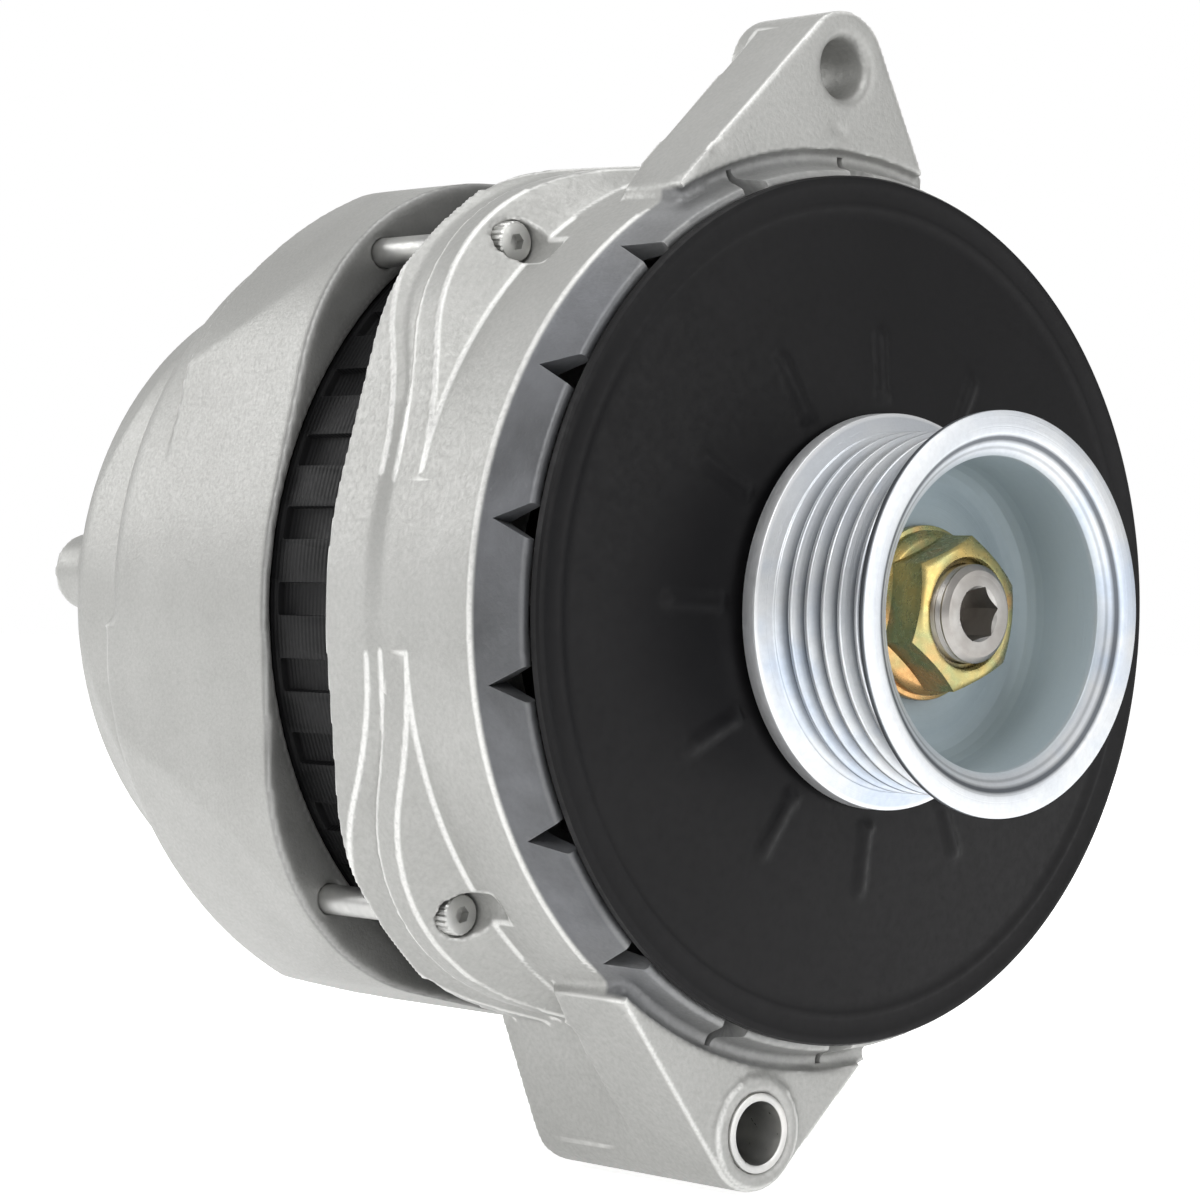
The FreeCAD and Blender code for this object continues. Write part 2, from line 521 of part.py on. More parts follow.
def makeDriveFrame():
    land, rim = makeBoltLugs()
    body = makeBody("drive_end_frame")
    revolve(body, loopSketch(body, "FrameBarrel", [
        ("0", "coneEnd"), ("frameRad", "coneEnd"), ("frameRad", "landEnd"),
        ("frameRad + rimStep", "rimFront"),
        ("frameRad + rimStep", "frontEnd"), ("0", "frontEnd")]))
    tangentLug(body, "BoltLug", "lugReach - lugGroove", "lugRound", "frameRad - lugGroove", "lugFront",
               "lugLong")
    revolve(body, lugFace(body, "LugSlope"), cut=True)
    joined(body, land, "LandJoin")
    joined(body, rim, "RimJoin")
    base, root = val("frameRad + earSwell"), val("frameRad - earRoot")
    topLeft, topRight = onRing(base, val("topWebTo")), onRing(val("frameRad"), val("topWebFrom"))
    earPad(body, "TopEarWeb", "0", "topEarUp", "topHeadRad", topLeft, topRight,
           (onRing(root, val("topWebTo")), onRing(root, val("topWebFrom"))), "earFace", "topEarThick")
    pad(body, circleSketch(body, "TopEarHead", "0", "topEarUp", "topHeadRad", "earFace"), "topHeadThick")
    lowLeft, lowRight = onRing(base, val("lowWebTo")), onRing(val("frameRad"), val("lowWebFrom"))
    earPad(body, "LowEarWeb", "-lowEarLeft", "-lowEarDown", "lowHeadRad", lowLeft, lowRight,
           (onRing(root, val("lowWebTo")), onRing(root, val("lowWebFrom"))), "earFace", "lowEarThick")
    backLeft = onRing(val("frameRad + 0.5 * earSwell"), val("lowBackTo"))
    backRight = onRing(val("frameRad"), val("lowBackFrom"))
    earPad(body, "LowEarBarrel", "-lowEarLeft", "-lowEarDown", "lowHeadRad", backLeft, backRight,
           (onRing(root, val("lowBackTo")), onRing(root, val("lowBackFrom"))), "earFace + topEarThick",
           "lowEarLong - topEarThick")
    pad(body, circleSketch(body, "LowEarBoss", "-lowEarLeft", "-lowEarDown", "lowHeadRad - bossEdge",
                           "earFace - bossRaise"), "2 * bossRaise")
    revolve(body, loopSketch(body, "EarShadowGap", [("0", "earFace - 3"),
                                                    ("frameRad + earGap", "earFace - 3"),
                                                    ("frameRad + earGap", "coneEnd + 0.8"),
                                                    ("frameRad", "coneEnd"), ("0", "coneEnd")]), cut=True)
    revolve(body, loopSketch(body, "ShroudCone", [("shroudBore - 1", "lipAt + 0.6"),
                                                  ("shroudBore - 0.4", "lipAt"),
                                                  ("lipRad", "lipAt"), ("frameRad - 0.5", "coneEnd - 0.6"),
                                                  ("frameRad", "coneEnd"), ("frameRad", "coneEnd + 4"),
                                                  ("shroudBore - 1", "coneEnd + 4")]))
    revolve(body, loopSketch(body, "FanRecess", [("0", "lipAt - 1"), ("shroudBore", "lipAt - 1"),
                                                 ("shroudBore", "recessFloor"), ("0", "recessFloor")]),
                                                 cut=True)
    revolve(body, loopSketch(body, "BearingHousing", [("0", "recessFloor - housingProud"),
                                                      ("housingRad - 2", "recessFloor - housingProud"),
                                                      ("housingRad", "recessFloor"),
                                                      ("housingRad", "frontBearAt + frontBearWide"),
                                                      ("0", "frontBearAt + frontBearWide")]))
    register = "statorRad + registerClear"
    revolve(body, loopSketch(body, "RearCavity", [
        ("housingRad", "recessFloor + frontWall"), ("frontCavity", "recessFloor + frontWall"),
        ("frontCavity", "frontEnd - registerDeep"), (register, "frontEnd - registerDeep"),
        (register, "frontEnd - 0.6"),
        (register + " + 0.6", "frontEnd"), (register + " + 0.6", "frontEnd + 8"), ("0", "frontEnd + 8"),
        ("0", "frontBearAt + frontBearWide"), ("housingRad", "frontBearAt + frontBearWide")]), cut=True)
    revolve(body, loopSketch(body, "BearingBore", [
        ("0", "recessFloor - 4"), ("lipHole", "recessFloor - 4"), ("lipHole", "frontBearAt"),
        ("frontBearRad", "frontBearAt"), ("frontBearRad", "frontBearAt + frontBearWide + 1"),
        ("0", "frontBearAt + frontBearWide + 1")]), cut=True)
    vent = loopSketch(body, "FrontVent",
                      [("ventInner", "-0.5 * ventInnerWide"), ("ventOuter", "-0.5 * ventOuterWide"),
                                          ("ventOuter", "0.5 * ventOuterWide"),
                                          ("ventInner", "0.5 * ventInnerWide")],
                      "XZ_Plane", "recessFloor - 3", "180 / ventCount")
    cut = body.newObject("PartDesign::Pocket", "FrontVentCut")
    cut.Profile = vent
    bind(cut, "Length", "frontWall + 4")
    polar(body, cut, "ventCount")
    notch = body.newObject("Sketcher::SketchObject", "ShroudNotch")
    notch.AttachmentSupport = [(originPlane(body, "YZ_Plane"), "")]
    notch.MapMode = "FlatFace"
    swing = -val("notchTurn")
    away = val("lipRad") + 6
    notch.AttachmentOffset = FreeCAD.Placement(
        V(0, -away * math.sin(math.radians(swing)), away * math.cos(math.radians(swing))),
        FreeCAD.Rotation(V(1, 0, 0), swing))
    y0, wide, long = val("lipAt"), val("notchWide"), val("notchLong")
    pts = [V(y0 - 1, -0.5 * wide, 0), V(y0 + long, 0, 0), V(y0 - 1, 0.5 * wide, 0)]
    for i in range(3):
        notch.addGeometry(Part.LineSegment(pts[i], pts[(i + 1) % 3]), False)
    for i in range(3):
        notch.addConstraint(Sketcher.Constraint("Coincident", i, 2, (i + 1) % 3, 1))
    cut = body.newObject("PartDesign::Pocket", "ShroudNotchCut")
    cut.Profile = notch
    bind(cut, "Length", "lipRad + 6 - shroudBore + 1.5")
    polar(body, cut, "notchCount")
    hole = circleSketch(body, "BoltHole", "boltCircle", "0", "boltRad + boltClear", "frontEnd + 1",
                        "boltTurn")
    polar(body, pocketBack(body, hole, "lugLong + 4"), "4")
    seat = circleSketch(body, "HeadSeat", "boltCircle", "0", "boltHeadRad + headClear",
                        "lugFront + headSunk", "boltTurn")
    polar(body, pocketBack(body, seat, "headSunk + 4"), "4")
    for name, cx, cz, rad, long in (("TopEarHole", "0", "topEarUp", "topHoleRad", "topHeadThick"),
                                    ("LowEarHole", "-lowEarLeft", "-lowEarDown", "sleeveRad", "lowEarLong")):
        body.Tip = pocketBack(body, circleSketch(body, name, cx, cz, rad, "earFace + %s + 1" % long),
                              "%s + 4" % long)
    mouth = pocketBack(body, circleSketch(body, "TopEarMouth", "0", "topEarUp", "topHoleRad",
                                          "earFace + mouthChamfer"),
                       "mouthChamfer")
    mouth.TaperAngle = 45
    body.Tip = mouth
    for name, turn in (("PinMarkLeft", "topWebTo - 7"), ("PinMarkRight",
                                                         "0.5 * (topWebFrom + topWebTo) - 5.5")):
        mark = circleSketch(body, name, "(frameRad + 1.5 * earSwell) * cos((%s) * 1 deg)" % turn,
                            "(frameRad + 1.5 * earSwell) * sin((%s) * 1 deg)" % turn, "pinMarkRad",
                            "earFace - 1")
        body.Tip = pocket(body, mark, "1 + pinMarkDeep")
    return body


def pocketBack(body, sketch, length):
    """Cut an XZ sketch along -Y."""
    feat = body.newObject("PartDesign::Pocket", sketch.Name + "Pocket")
    feat.Profile = sketch
    feat.Reversed = True
    bind(feat, "Length", length)
    return feat


def makeRearFrame():
    body = makeBody("slip_ring_end_frame")
    revolve(body, loopSketch(body, "BellOutside", [
        ("0", "rearFace"), ("shoulderRad", "rearFace"), ("shoulderRad", "shoulderEnd - shoulderRound"),
        ("shoulderRad - 0.08 * shoulderRound", "shoulderEnd - 0.62 * shoulderRound"),
        ("shoulderRad - 0.3 * shoulderRound", "shoulderEnd - 0.29 * shoulderRound"),
        ("shoulderRad - 0.63 * shoulderRound", "shoulderEnd - 0.08 * shoulderRound"),
        ("shoulderRad - shoulderRound", "shoulderEnd"), ("bellRad + 1", "shoulderEnd"),
        ("bellRad", "shoulderEnd + 1"),
        ("bellRad", "bellEnd - bellRound"), ("bellRad - 0.13 * bellRound", "bellEnd - 0.5 * bellRound"),
        ("bellRad - 0.5 * bellRound", "bellEnd - 0.13 * bellRound"), ("bellRad - bellRound", "bellEnd"),
        ("rearBossRad + 1.5", "bellEnd"), ("rearBossRad", "rearBossEnd - 1"),
        ("rearBossRad - 1", "rearBossEnd"),
        ("0", "rearBossEnd")]))
    tangentLug(body, "RearLug", "lugReach", "lugRound", "shoulderRad", "rearFace", "upperLugLong")
    for side, turn in (("Left", "boltTurn + 180"), ("Right", "boltTurn + 270")):
        tangentLug(body, "LowLug" + side, "lugReach", "lugRound", "shoulderRad",
                   "rearFace + upperLugLong - 1",
                   "rearLugLong - upperLugLong + 1", turn, None)
    revolve(body, loopSketch(body, "RearLugSlope", [
        ("shoulderRad", "rearLugEnd + 1"), ("lugReach + 2", "rearLugEnd + 1"),
        ("lugReach + 2", "rearFace + 2"), ("lugReach", "rearFace + 2"),
        ("lugReach - rearLugDraft", "rearLugEnd - rearLugTaper"), ("shoulderRad", "rearLugEnd")]), cut=True)
    tangentLug(body, "BellBulge", "bellRad + bellBulge", "bulgeRound", "bellRad", "shoulderEnd - 1",
               "bellLong - bellRound + 1")
    revolve(body, loopSketch(body, "BulgeSlope", [
        ("bellRad", "bulgeEnd + 1"), ("bellRad + bellBulge + 1", "bulgeEnd + 1"),
        ("bellRad + bellBulge + 1", "bulgeEnd - bulgeTaper"),
        ("bellRad + bellBulge", "bulgeEnd - bulgeTaper"),
        ("bellRad", "bulgeEnd")]), cut=True)
    pad(body, circleSketch(body, "BracketBoss", "-bumpOut", "bumpUp", "bumpRad", "bellEnd - 8"),
        "bumpEnd - bellEnd + 8")
    register = "statorRad + registerClear"
    revolve(body, loopSketch(body, "BellInside", [
        ("0", "rearFace - 1"), (register + " + 0.8", "rearFace - 1"), (register + " + 0.8", "rearFace"),
        (register, "rearFace + 0.8"), (register, "rearFace + registerDeep"),
        ("shoulderRad - wall", "rearFace + registerDeep"),
        ("shoulderRad - wall", "shoulderEnd - shoulderRound"),
        ("shoulderRad - shoulderRound", "shoulderEnd - wall"), ("bellRad - wall", "shoulderEnd - wall"),
        ("bellRad - wall", "bellEnd - wall"), ("rearBearRad + wall", "bellEnd - wall"),
        ("rearBearRad + wall", "rearBearAt - 0.6"), ("0", "rearBearAt - 0.6")]), cut=True)
    revolve(body, loopSketch(body, "RearBearingBore", [
        ("0", "rearBearAt - 2"), ("rearBearRad", "rearBearAt - 2"),
        ("rearBearRad", "rearBearAt + rearBearWide"),
        ("rearBearRad - rearRing", "rearBearAt + rearBearWide"),
        ("rearBearRad - rearRing", "rearBearAt + rearBearWide + 1"),
        ("0", "rearBearAt + rearBearWide + 1")]), cut=True)
    vent = loopSketch(body, "RearVent", [("rearVentInner", "-0.5 * rearVentWide"),
                                         ("rearVentOuter", "-0.5 * rearVentWide"),
                                         ("rearVentOuter", "0.5 * rearVentWide"),
                                         ("rearVentInner", "0.5 * rearVentWide")],
                      "XZ_Plane", "bellEnd - wall - 1", "rearVentTurn")
    polar(body, pocket(body, vent, "wall + 3"), "rearVents")
    polar(body, pocket(body, circleSketch(body, "RearBoltThread", "boltCircle", "0", "boltRad",
                                          "rearFace - 1", "boltTurn"), "boltDeep + 1"), "4")
    body.Tip = pocket(body, circleSketch(body, "StudHole", "studOut", "0", "studShank + studWall",
                                         "bellEnd - wall - 1", "studAngle"), "wall + 3")
    plug = loopSketch(body, "PlugOpening", [("plugLeft", "plugLow"), ("plugLeft + plugWide", "plugLow"),
                                            ("plugLeft + plugWide", "plugLow + plugHigh"),
                                            ("plugLeft", "plugLow + plugHigh")], "XZ_Plane",
                                            "bellEnd - wall - 1")
    body.Tip = pocket(body, plug, "wall + 3")


def makeStator():
    body = turned("stator_core", [("statorBore", "0"), ("statorRad", "0"), ("statorRad", "statorLong"),
                                  ("statorBore", "statorLong")], "statorFrom")
    ridge = loopSketch(body, "OuterGroove", [("statorRad - ridgeDeep", "-0.5 * ridgeWide"),
                                             ("statorRad + 3", "-0.5 * ridgeWide"),
                                             ("statorRad + 3", "0.5 * ridgeWide"),
                                             ("statorRad - ridgeDeep", "0.5 * ridgeWide")], "XZ_Plane",
                                             "registerDeep + 1")
    polar(body, pocket(body, ridge, "statorLong - 2 * registerDeep - 2"), "ridgeCount")
    slot = loopSketch(body, "WireSlot", [("statorBore - 1", "-0.25 * ridgeWide"), ("windInner",
                                                                                   "-0.25 * ridgeWide"),
                                         ("windInner", "-0.45 * ridgeWide"),
                                         ("windOuter", "-0.55 * ridgeWide"),
                                         ("windOuter", "0.55 * ridgeWide"), ("windInner", "0.45 * ridgeWide"),
                                         ("windInner", "0.25 * ridgeWide"),
                                         ("statorBore - 1", "0.25 * ridgeWide")],
                      "XZ_Plane", "-1", "180 / ridgeCount")
    polar(body, pocket(body, slot, "statorLong + 2"), "ridgeCount")
    inner, outer, long, w, gap = (val(n) for n in ("windInner", "windOuter", "windLong", "ridgeWide",
                                                   "windClear"))
    y0, stack = val("statorFrom"), val("statorLong")
    solids = []
    for start, way in ((y0, -1), (y0 + stack, 1)):
        low, high, soft = inner + gap, outer - gap, 0.25 * (outer - inner)
        pts = [V(low, start, 0), V(high, start, 0), V(high, start + way * long * 0.7, 0),
               V(high - soft, start + way * long, 0), V(low + soft, start + way * long, 0),
               V(low, start + way * long * 0.7, 0)]
        solids.append(Part.Face(Part.makePolygon(pts + [pts[0]])).revolve(V(0, 0, 0), V(0, 1, 0), 360))
    bars = []
    count = int(val("ridgeCount"))
    for i in range(count):
        bar = Part.makeBox(outer - inner - 3 * gap, stack, 0.7 * w, V(inner + 2 * gap, y0, -0.35 * w))
        bars.append(spun(bar, 360.0 / count * (i + 0.5)))
    shapeNode("stator_windings", solids[0].multiFuse([solids[1]] + bars))


def makeRotorCore():
    top, start, disc, gap = (val(n) for n in ("poleRad", "poleFaceAt", "poleDisc", "poleGap"))
    count = int(val("poleFingers"))
    hub = 0.42 * top
    shaft = val("coreRad")
    whole = 2 * disc + gap
    for tag, at, way, turn in (("rotor_pole_front", start, 1, 0.0), ("rotor_pole_rear", start + whole, -1,
                                                                     180.0 / count)):
        first = at if way > 0 else at - disc
        plate = ring(0.84 * top, shaft, disc, first)
        rootBand = ring(top, 0.8 * top, disc, first)
        core = ring(hub, shaft, disc + 0.5 * gap, at if way > 0 else at - disc - 0.5 * gap)
        band = ring(top, 0.86 * top, whole, min(at, at + way * whole))
        rootWide, tipWide, reach = 0.37 * top, 0.16 * top, 0.94 * whole
        pieces = [core]
        for i in range(count):
            swing = turn + 360.0 / count * i
            root = Part.makeBox(0.3 * top, whole, 0.9 * rootWide,
                                V(0.76 * top, min(at, at + way * whole), -0.45 * rootWide))
            pieces.append(spun(root, swing).common(rootBand))
            pts = [V(0.8 * top, at, -0.5 * rootWide), V(0.8 * top, at + way * reach, -0.5 * tipWide),
                   V(0.8 * top, at + way * reach, 0.5 * tipWide), V(0.8 * top, at, 0.5 * rootWide)]
            finger = Part.Face(Part.makePolygon(pts + [pts[0]])).extrude(V(0.3 * top, 0, 0))
            pieces.append(spun(finger, swing).common(band))
        shapeNode(tag, plate.multiFuse(pieces).removeSplitter())
    core = "(0.42 * poleRad + runClear)"
    turned("field_bobbin", [(core, "0"), ("coilRad", "0"), ("coilRad", "bobbinWall"),
                            (core + " + bobbinWall", "bobbinWall"),
                            (core + " + bobbinWall", "poleGap - bobbinWall"),
                            ("coilRad", "poleGap - bobbinWall"), ("coilRad", "poleGap"), (core, "poleGap")],
           "poleFaceAt + poleDisc")
    turned("field_coil", [(core + " + bobbinWall + runClear", "bobbinWall"), ("coilRad - 1", "bobbinWall"),
                          ("coilRad - 1", "poleGap - bobbinWall"),
                          (core + " + bobbinWall + runClear", "poleGap - bobbinWall")],
                          "poleFaceAt + poleDisc")
    turned("slip_ring_sleeve", [("shaftRad", "0"), ("shaftRad + sleeveWall", "0"),
                                ("shaftRad + sleeveWall", "2 * slipWide + 3 * slipGap"),
                                ("shaftRad", "2 * slipWide + 3 * slipGap")], "slipAt - slipGap")
    rings = []
    for i in range(2):
        rings.append(ring(val("slipRad"), val("shaftRad") + val("sleeveWall"), val("slipWide"),
                          val("slipAt") + i * (val("slipWide") + val("slipGap"))))
    shapeNode("slip_rings", Part.makeCompound(rings))


def block(x0, x1, y0, y1, z0, z1):
    return Part.makeBox(x1 - x0, y1 - y0, z1 - z0, V(x0, y0, z0))


def makeBrushGear():
    w, d, long, c, wall = (val(n) for n in ("brushWide", "brushDeep", "brushLong", "brushClear",
                                            "holderWall"))
    contact = val("slipRad + brushGap")
    top = val("holderTop")
    low = contact + val("holderLift")
    wire = val("springWire")
    first = val("slipAt") + 0.5 * val("slipWide")
    step = val("slipWide") + val("slipGap")
    holder = block(-0.5 * d - c - wall, 0.5 * d + c + wall, first - 0.5 * w - c - wall,
                   first + step + 0.5 * w + c + wall, low, top)
    tail = block(-0.5 * d - c - wall, 0.5 * d + c + wall, first + step + 0.5 * w + c + wall,
                 val("bellEnd - wall"), top - val("holderTail"), top)
    holder = holder.fuse(tail)
    for i, name in enumerate(("brush_front", "brush_rear")):
        y0 = first + i * step
        holder = holder.cut(block(-0.5 * d - c, 0.5 * d + c, y0 - 0.5 * w - c, y0 + 0.5 * w + c, low - 1,
                                  top - wall))
        shapeNode(name, block(-0.5 * d, 0.5 * d, y0 - 0.5 * w, y0 + 0.5 * w, contact, contact + long))
        high = top - wall - contact - long
        coil = 0.5 * w - 5 * wire * val("brushClear") - wire
        helix = Part.makeHelix(high / (val("springTurns") + 0.6), high - 2.5 * wire, coil)
        path = Part.Wire(helix.Edges)
        path.translate(V(0, y0, contact + long + 1.25 * wire))
        start = path.Edges[0].valueAt(path.Edges[0].FirstParameter)
        profile = Part.Wire(Part.makeCircle(wire, start, V(0, 1, 0.2)))
        shapeNode(name.replace("brush", "brush_spring"), path.makePipeShell([profile], True, True))
    shapeNode("brush_holder", holder.removeSplitter())


def crescent(inner, outer, thick, at, first, last):
    whole = ring(outer, inner, thick, at)
    mid = 0.5 * (first + last)
    half = math.radians(0.5 * (last - first))
    far = 2 * outer
    pts = [V(0, at - 1, 0), V(far * math.cos(half), at - 1, -far * math.sin(half)),
           V(far * math.cos(half), at - 1, far * math.sin(half))]
    wedge = Part.Face(Part.makePolygon([pts[0], pts[1], V(3 * far, at - 1, -far * math.sin(half)),
                                        V(3 * far, at - 1, far * math.sin(half)), pts[2], pts[0]]))
    return whole.common(spun(wedge.extrude(V(0, thick + 2, 0)), mid))


def spot(rad, degrees, y):
    return V(rad * math.cos(math.radians(degrees)), y, rad * math.sin(math.radians(degrees)))


def makeRectifier():
    inside = val("bellEnd - wall")
    thick, inner, outer, at = (val(n) for n in ("plateThick", "plateInner", "plateOuter", "plateAt"))
    mid = 0.5 * (inner + outer)
    diodeAngles = (215, 250, 285)
    spacerAngles = (202, 232.5, 268)
    first, last = 196, 344
    along = V(0, 1, 0)
    stud = spot(val("studOut"), val("studAngle"), 0)

    def rod(rad, start, end):
        """Round bar on the stud's axis."""
        return Part.makeCylinder(rad, end - start, V(stud.x, start, stud.z), along)

    shank = val("studShank")
    outside = val("studShank + studWall")
    face = val("bellEnd + collarHigh")
    nutEnd = face + val("studNutHigh")
    shapeNode("positive_heat_sink", crescent(inner, outer, thick, at, first, last).cut(rod(shank, at - 1,
                                                                                           inside)))
    cold = crescent(inner, outer, thick, inside - thick, first, last)
    shapeNode("negative_heat_sink", cold.cut(rod(outside + val("runClear"), at, inside + 1)))
    dr, dh = val("diodeRad"), val("diodeHigh")
    for name, seat in (("positive_diodes", at), ("negative_diodes", inside - thick)):
        shapeNode(name, Part.makeCompound(
            [Part.makeCylinder(dr, dh, spot(mid, a, seat - dh), along) for a in diodeAngles]))
    shapeNode("heat_sink_spacers", Part.makeCompound(
        [Part.makeCylinder(val("spacerRad"), inside - 2 * thick - at, spot(mid, a, at + thick), along)
         for a in spacerAngles]))
    shell = rod(outside, at + thick, face).fuse(rod(outside + val("collarWide"), val("bellEnd"), face))
    shapeNode("terminal_insulator", shell.cut(rod(shank, at, face + 1)).removeSplitter())
    pin = rod(shank, at, nutEnd).fuse(rod(val("studRad"), nutEnd, val("bellEnd + studLong")))
    shapeNode("output_stud", pin.fuse(rod(val("studHeadRad"), at - val("studHeadHigh"), at)).removeSplitter())
    nut = hexBar(val("studNutFlats"), stud.x, stud.z, face, val("studNutHigh"))
    shapeNode("output_stud_nut", nut.cut(rod(shank, face - 1, nutEnd + 1)))


def hexBar(flats, x, z, start, length):
    """Hexagonal bar along Y about the axis at x and z."""
    rad = flats / math.sqrt(3)
    corners = [V(x + rad * math.cos(math.radians(60 * i)), start, z + rad * math.sin(math.radians(60 * i)))
               for i in range(6)]
    return Part.Face(Part.makePolygon(corners + [corners[0]])).extrude(V(0, length, 0))


def makeRegulator():
    inside, face = val("bellEnd - wall"), val("bellEnd")
    x0, z0, w, h, gap, skin = (val(n) for n in ("plugLeft", "plugLow", "plugWide", "plugHigh", "plugClear",
                                                "plugWall"))
    deep, side = val("regulatorDeep"), val("regulatorSide")
    case = block(x0 - side, x0 + w + side, inside - deep, inside, z0 - val("regulatorDown"),
                 z0 + h + val("regulatorUp"))
    hull = crescent(val("rearBearRad + runClear"), val("bellRad - wall - plugClear"), deep, inside - deep,
                    95, 170)
    shapeNode("voltage_regulator", case.common(hull))
    shell = block(x0 + gap, x0 + w - gap, inside, face + val("plugProud"), z0 + gap, z0 + h - gap)
    inset = gap + skin
    floor = inside + 2 * skin
    hollow = block(x0 + inset, x0 + w - inset, floor, face + val("plugProud") + 1, z0 + inset, z0 + h - inset)
    shapeNode("plug_socket", shell.cut(hollow))
    shapeNode("plug_pins", Part.makeCompound(
        [Part.makeCylinder(val("pinRad"), val("pinLong"),
                           V(x0 + w * (0.26 + 0.16 * i), floor, z0 + 0.5 * h), V(0, 1, 0))
         for i in range(4)]))


def makeFasteners():
    along = V(0, 1, 0)
    seat = val("lugFront + headSunk")
    high, rad, dome = val("boltHead"), val("boltHeadRad"), val("headDome")
    bolts = []
    for i in range(4):
        c = spot(val("boltCircle"), val("boltTurn") + 90 * i, seat)
        shank = Part.makeCylinder(val("boltRad"), val("rearFace + boltDeep - boltGap") - seat, c, along)
        head = Part.makeCylinder(rad, high - dome, c - V(0, high - dome, 0), along)
        crown = Part.makeCone(rad - dome, rad, dome, c - V(0, high, 0), along)
        bolt = shank.fuse([head, crown]).removeSplitter()
        bolts.append(bolt.cut(hexBar(val("driveFlats"), c.x, c.z, seat - high, val("driveDeep"))))
    shapeNode("through_bolts", Part.makeCompound(bolts))
    back = val("frontBearAt + frontBearWide")
    thick = val("retainerThick")
    plate = ring(val("housingRad"), val("frontBearRad - retainerLap"), thick, back)
    screws = []
    for i in range(3):
        c = spot(0.5 * val("housingRad + frontBearRad"), 120 * i + 30, back)
        shank = Part.makeCylinder(val("screwRad"), thick, c, along)
        head = Part.makeCylinder(val("screwHeadRad"), val("screwHeadHigh"), c + V(0, thick, 0), along)
        plate = plate.cut(shank)
        screws.append(shank.fuse(head).removeSplitter())
    shapeNode("bearing_retainer", plate)
    shapeNode("retainer_screws", Part.makeCompound(screws))
    x, z, start = -val("lowEarLeft"), -val("lowEarDown"), val("earFace - bossRaise")
    long = val("lowEarLong + bossRaise")
    sleeve = Part.makeCylinder(val("sleeveRad"), long, V(x, start, z), along)
    shapeNode("lower_ear_sleeve", sleeve.cut(Part.makeCylinder(val("sleeveBore"), long, V(x, start, z),
                                                               along)))


doc.recompute()
makePulley()
makeNut()
makeShaft()
makeFan()
makeBearing("front_bearing", "shaftRad", "frontBearRad", "frontBearWide", "frontBearAt", "ringThick")
makeBearing("rear_bearing", "rearSeatRad", "rearBearRad", "rearBearWide", "rearBearAt", "rearRing")
makeDriveFrame()
makeRearFrame()
makeStator()
makeRotorCore()
makeBrushGear()
makeRectifier()
makeRegulator()
makeFasteners()
doc.recompute()

fusedIn = [tool for o in doc.Objects if o.TypeId == "PartDesign::Boolean" for tool in o.Group]
nodes = [o for o in doc.Objects if o.TypeId in ("PartDesign::Body", "Part::Feature") and o not in fusedIn]
for obj in doc.Objects:
    if "Invalid" in obj.State or "Error" in obj.State:
        raise RuntimeError("failed feature: " + obj.Label)
for node in nodes:
    if node.Shape.isNull() or not node.Shape.isValid():
        raise RuntimeError("bad solid: " + node.Label)
for node in nodes:
    node.Shape.exportStep("parts/%s.step" % node.Label)
    box = node.Shape.BoundBox
    print(node.Label, len(node.Shape.Solids), round(node.Shape.Volume),
          [round(v, 1) for v in (box.XMin, box.XMax, box.YMin, box.YMax, box.ZMin, box.ZMax)])
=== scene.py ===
import bpy
import bmesh
import math
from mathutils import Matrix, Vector
from mathutils.kdtree import KDTree


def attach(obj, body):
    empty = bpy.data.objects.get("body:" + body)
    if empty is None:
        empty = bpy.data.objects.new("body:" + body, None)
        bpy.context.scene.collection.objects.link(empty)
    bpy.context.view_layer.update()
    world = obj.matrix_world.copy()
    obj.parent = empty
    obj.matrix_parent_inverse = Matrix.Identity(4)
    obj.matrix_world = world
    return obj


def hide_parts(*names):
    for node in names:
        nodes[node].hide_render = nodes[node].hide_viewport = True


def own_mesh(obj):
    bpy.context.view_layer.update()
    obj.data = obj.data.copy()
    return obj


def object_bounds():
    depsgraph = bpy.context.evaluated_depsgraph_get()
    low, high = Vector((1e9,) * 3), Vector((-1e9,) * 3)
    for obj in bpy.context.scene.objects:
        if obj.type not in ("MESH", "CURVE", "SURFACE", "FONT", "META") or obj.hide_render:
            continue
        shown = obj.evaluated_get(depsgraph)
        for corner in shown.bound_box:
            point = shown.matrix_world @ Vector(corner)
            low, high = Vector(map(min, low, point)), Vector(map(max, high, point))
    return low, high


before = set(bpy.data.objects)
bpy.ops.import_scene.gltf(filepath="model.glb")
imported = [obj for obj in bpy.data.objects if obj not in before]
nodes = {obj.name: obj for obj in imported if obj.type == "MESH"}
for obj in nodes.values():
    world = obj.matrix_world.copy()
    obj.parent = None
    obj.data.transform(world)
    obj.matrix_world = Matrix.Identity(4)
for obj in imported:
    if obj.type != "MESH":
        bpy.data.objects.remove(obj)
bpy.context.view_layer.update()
mm = 0.001


# small helpers

def deselectAll():
    if bpy.context.object and bpy.context.object.mode != "OBJECT":
        bpy.ops.object.mode_set(mode="OBJECT")
    bpy.ops.object.select_all(action="DESELECT")


def pick(obj):
    deselectAll()
    obj.select_set(True)
    bpy.context.view_layer.objects.active = obj
    return obj


def edit(obj, kind="VERT"):
    pick(obj)
    bpy.ops.object.mode_set(mode="EDIT")
    bpy.ops.mesh.select_mode(type=kind)
    bpy.ops.mesh.select_all(action="DESELECT")
    return bmesh.from_edit_mesh(obj.data)


def objectMode():
    bpy.ops.object.mode_set(mode="OBJECT")


def settle(obj):
    # place goes into the mesh, object stays at the origin
    pick(obj)
    bpy.ops.object.transform_apply(location=True, rotation=True, scale=True)
    return obj


def named(obj, name):
    obj.name = name
    obj.data.name = name
    return obj


def smooth(obj, angle=32):
    pick(obj)
    bpy.ops.object.shade_smooth_by_angle(angle=math.radians(angle))
    return obj


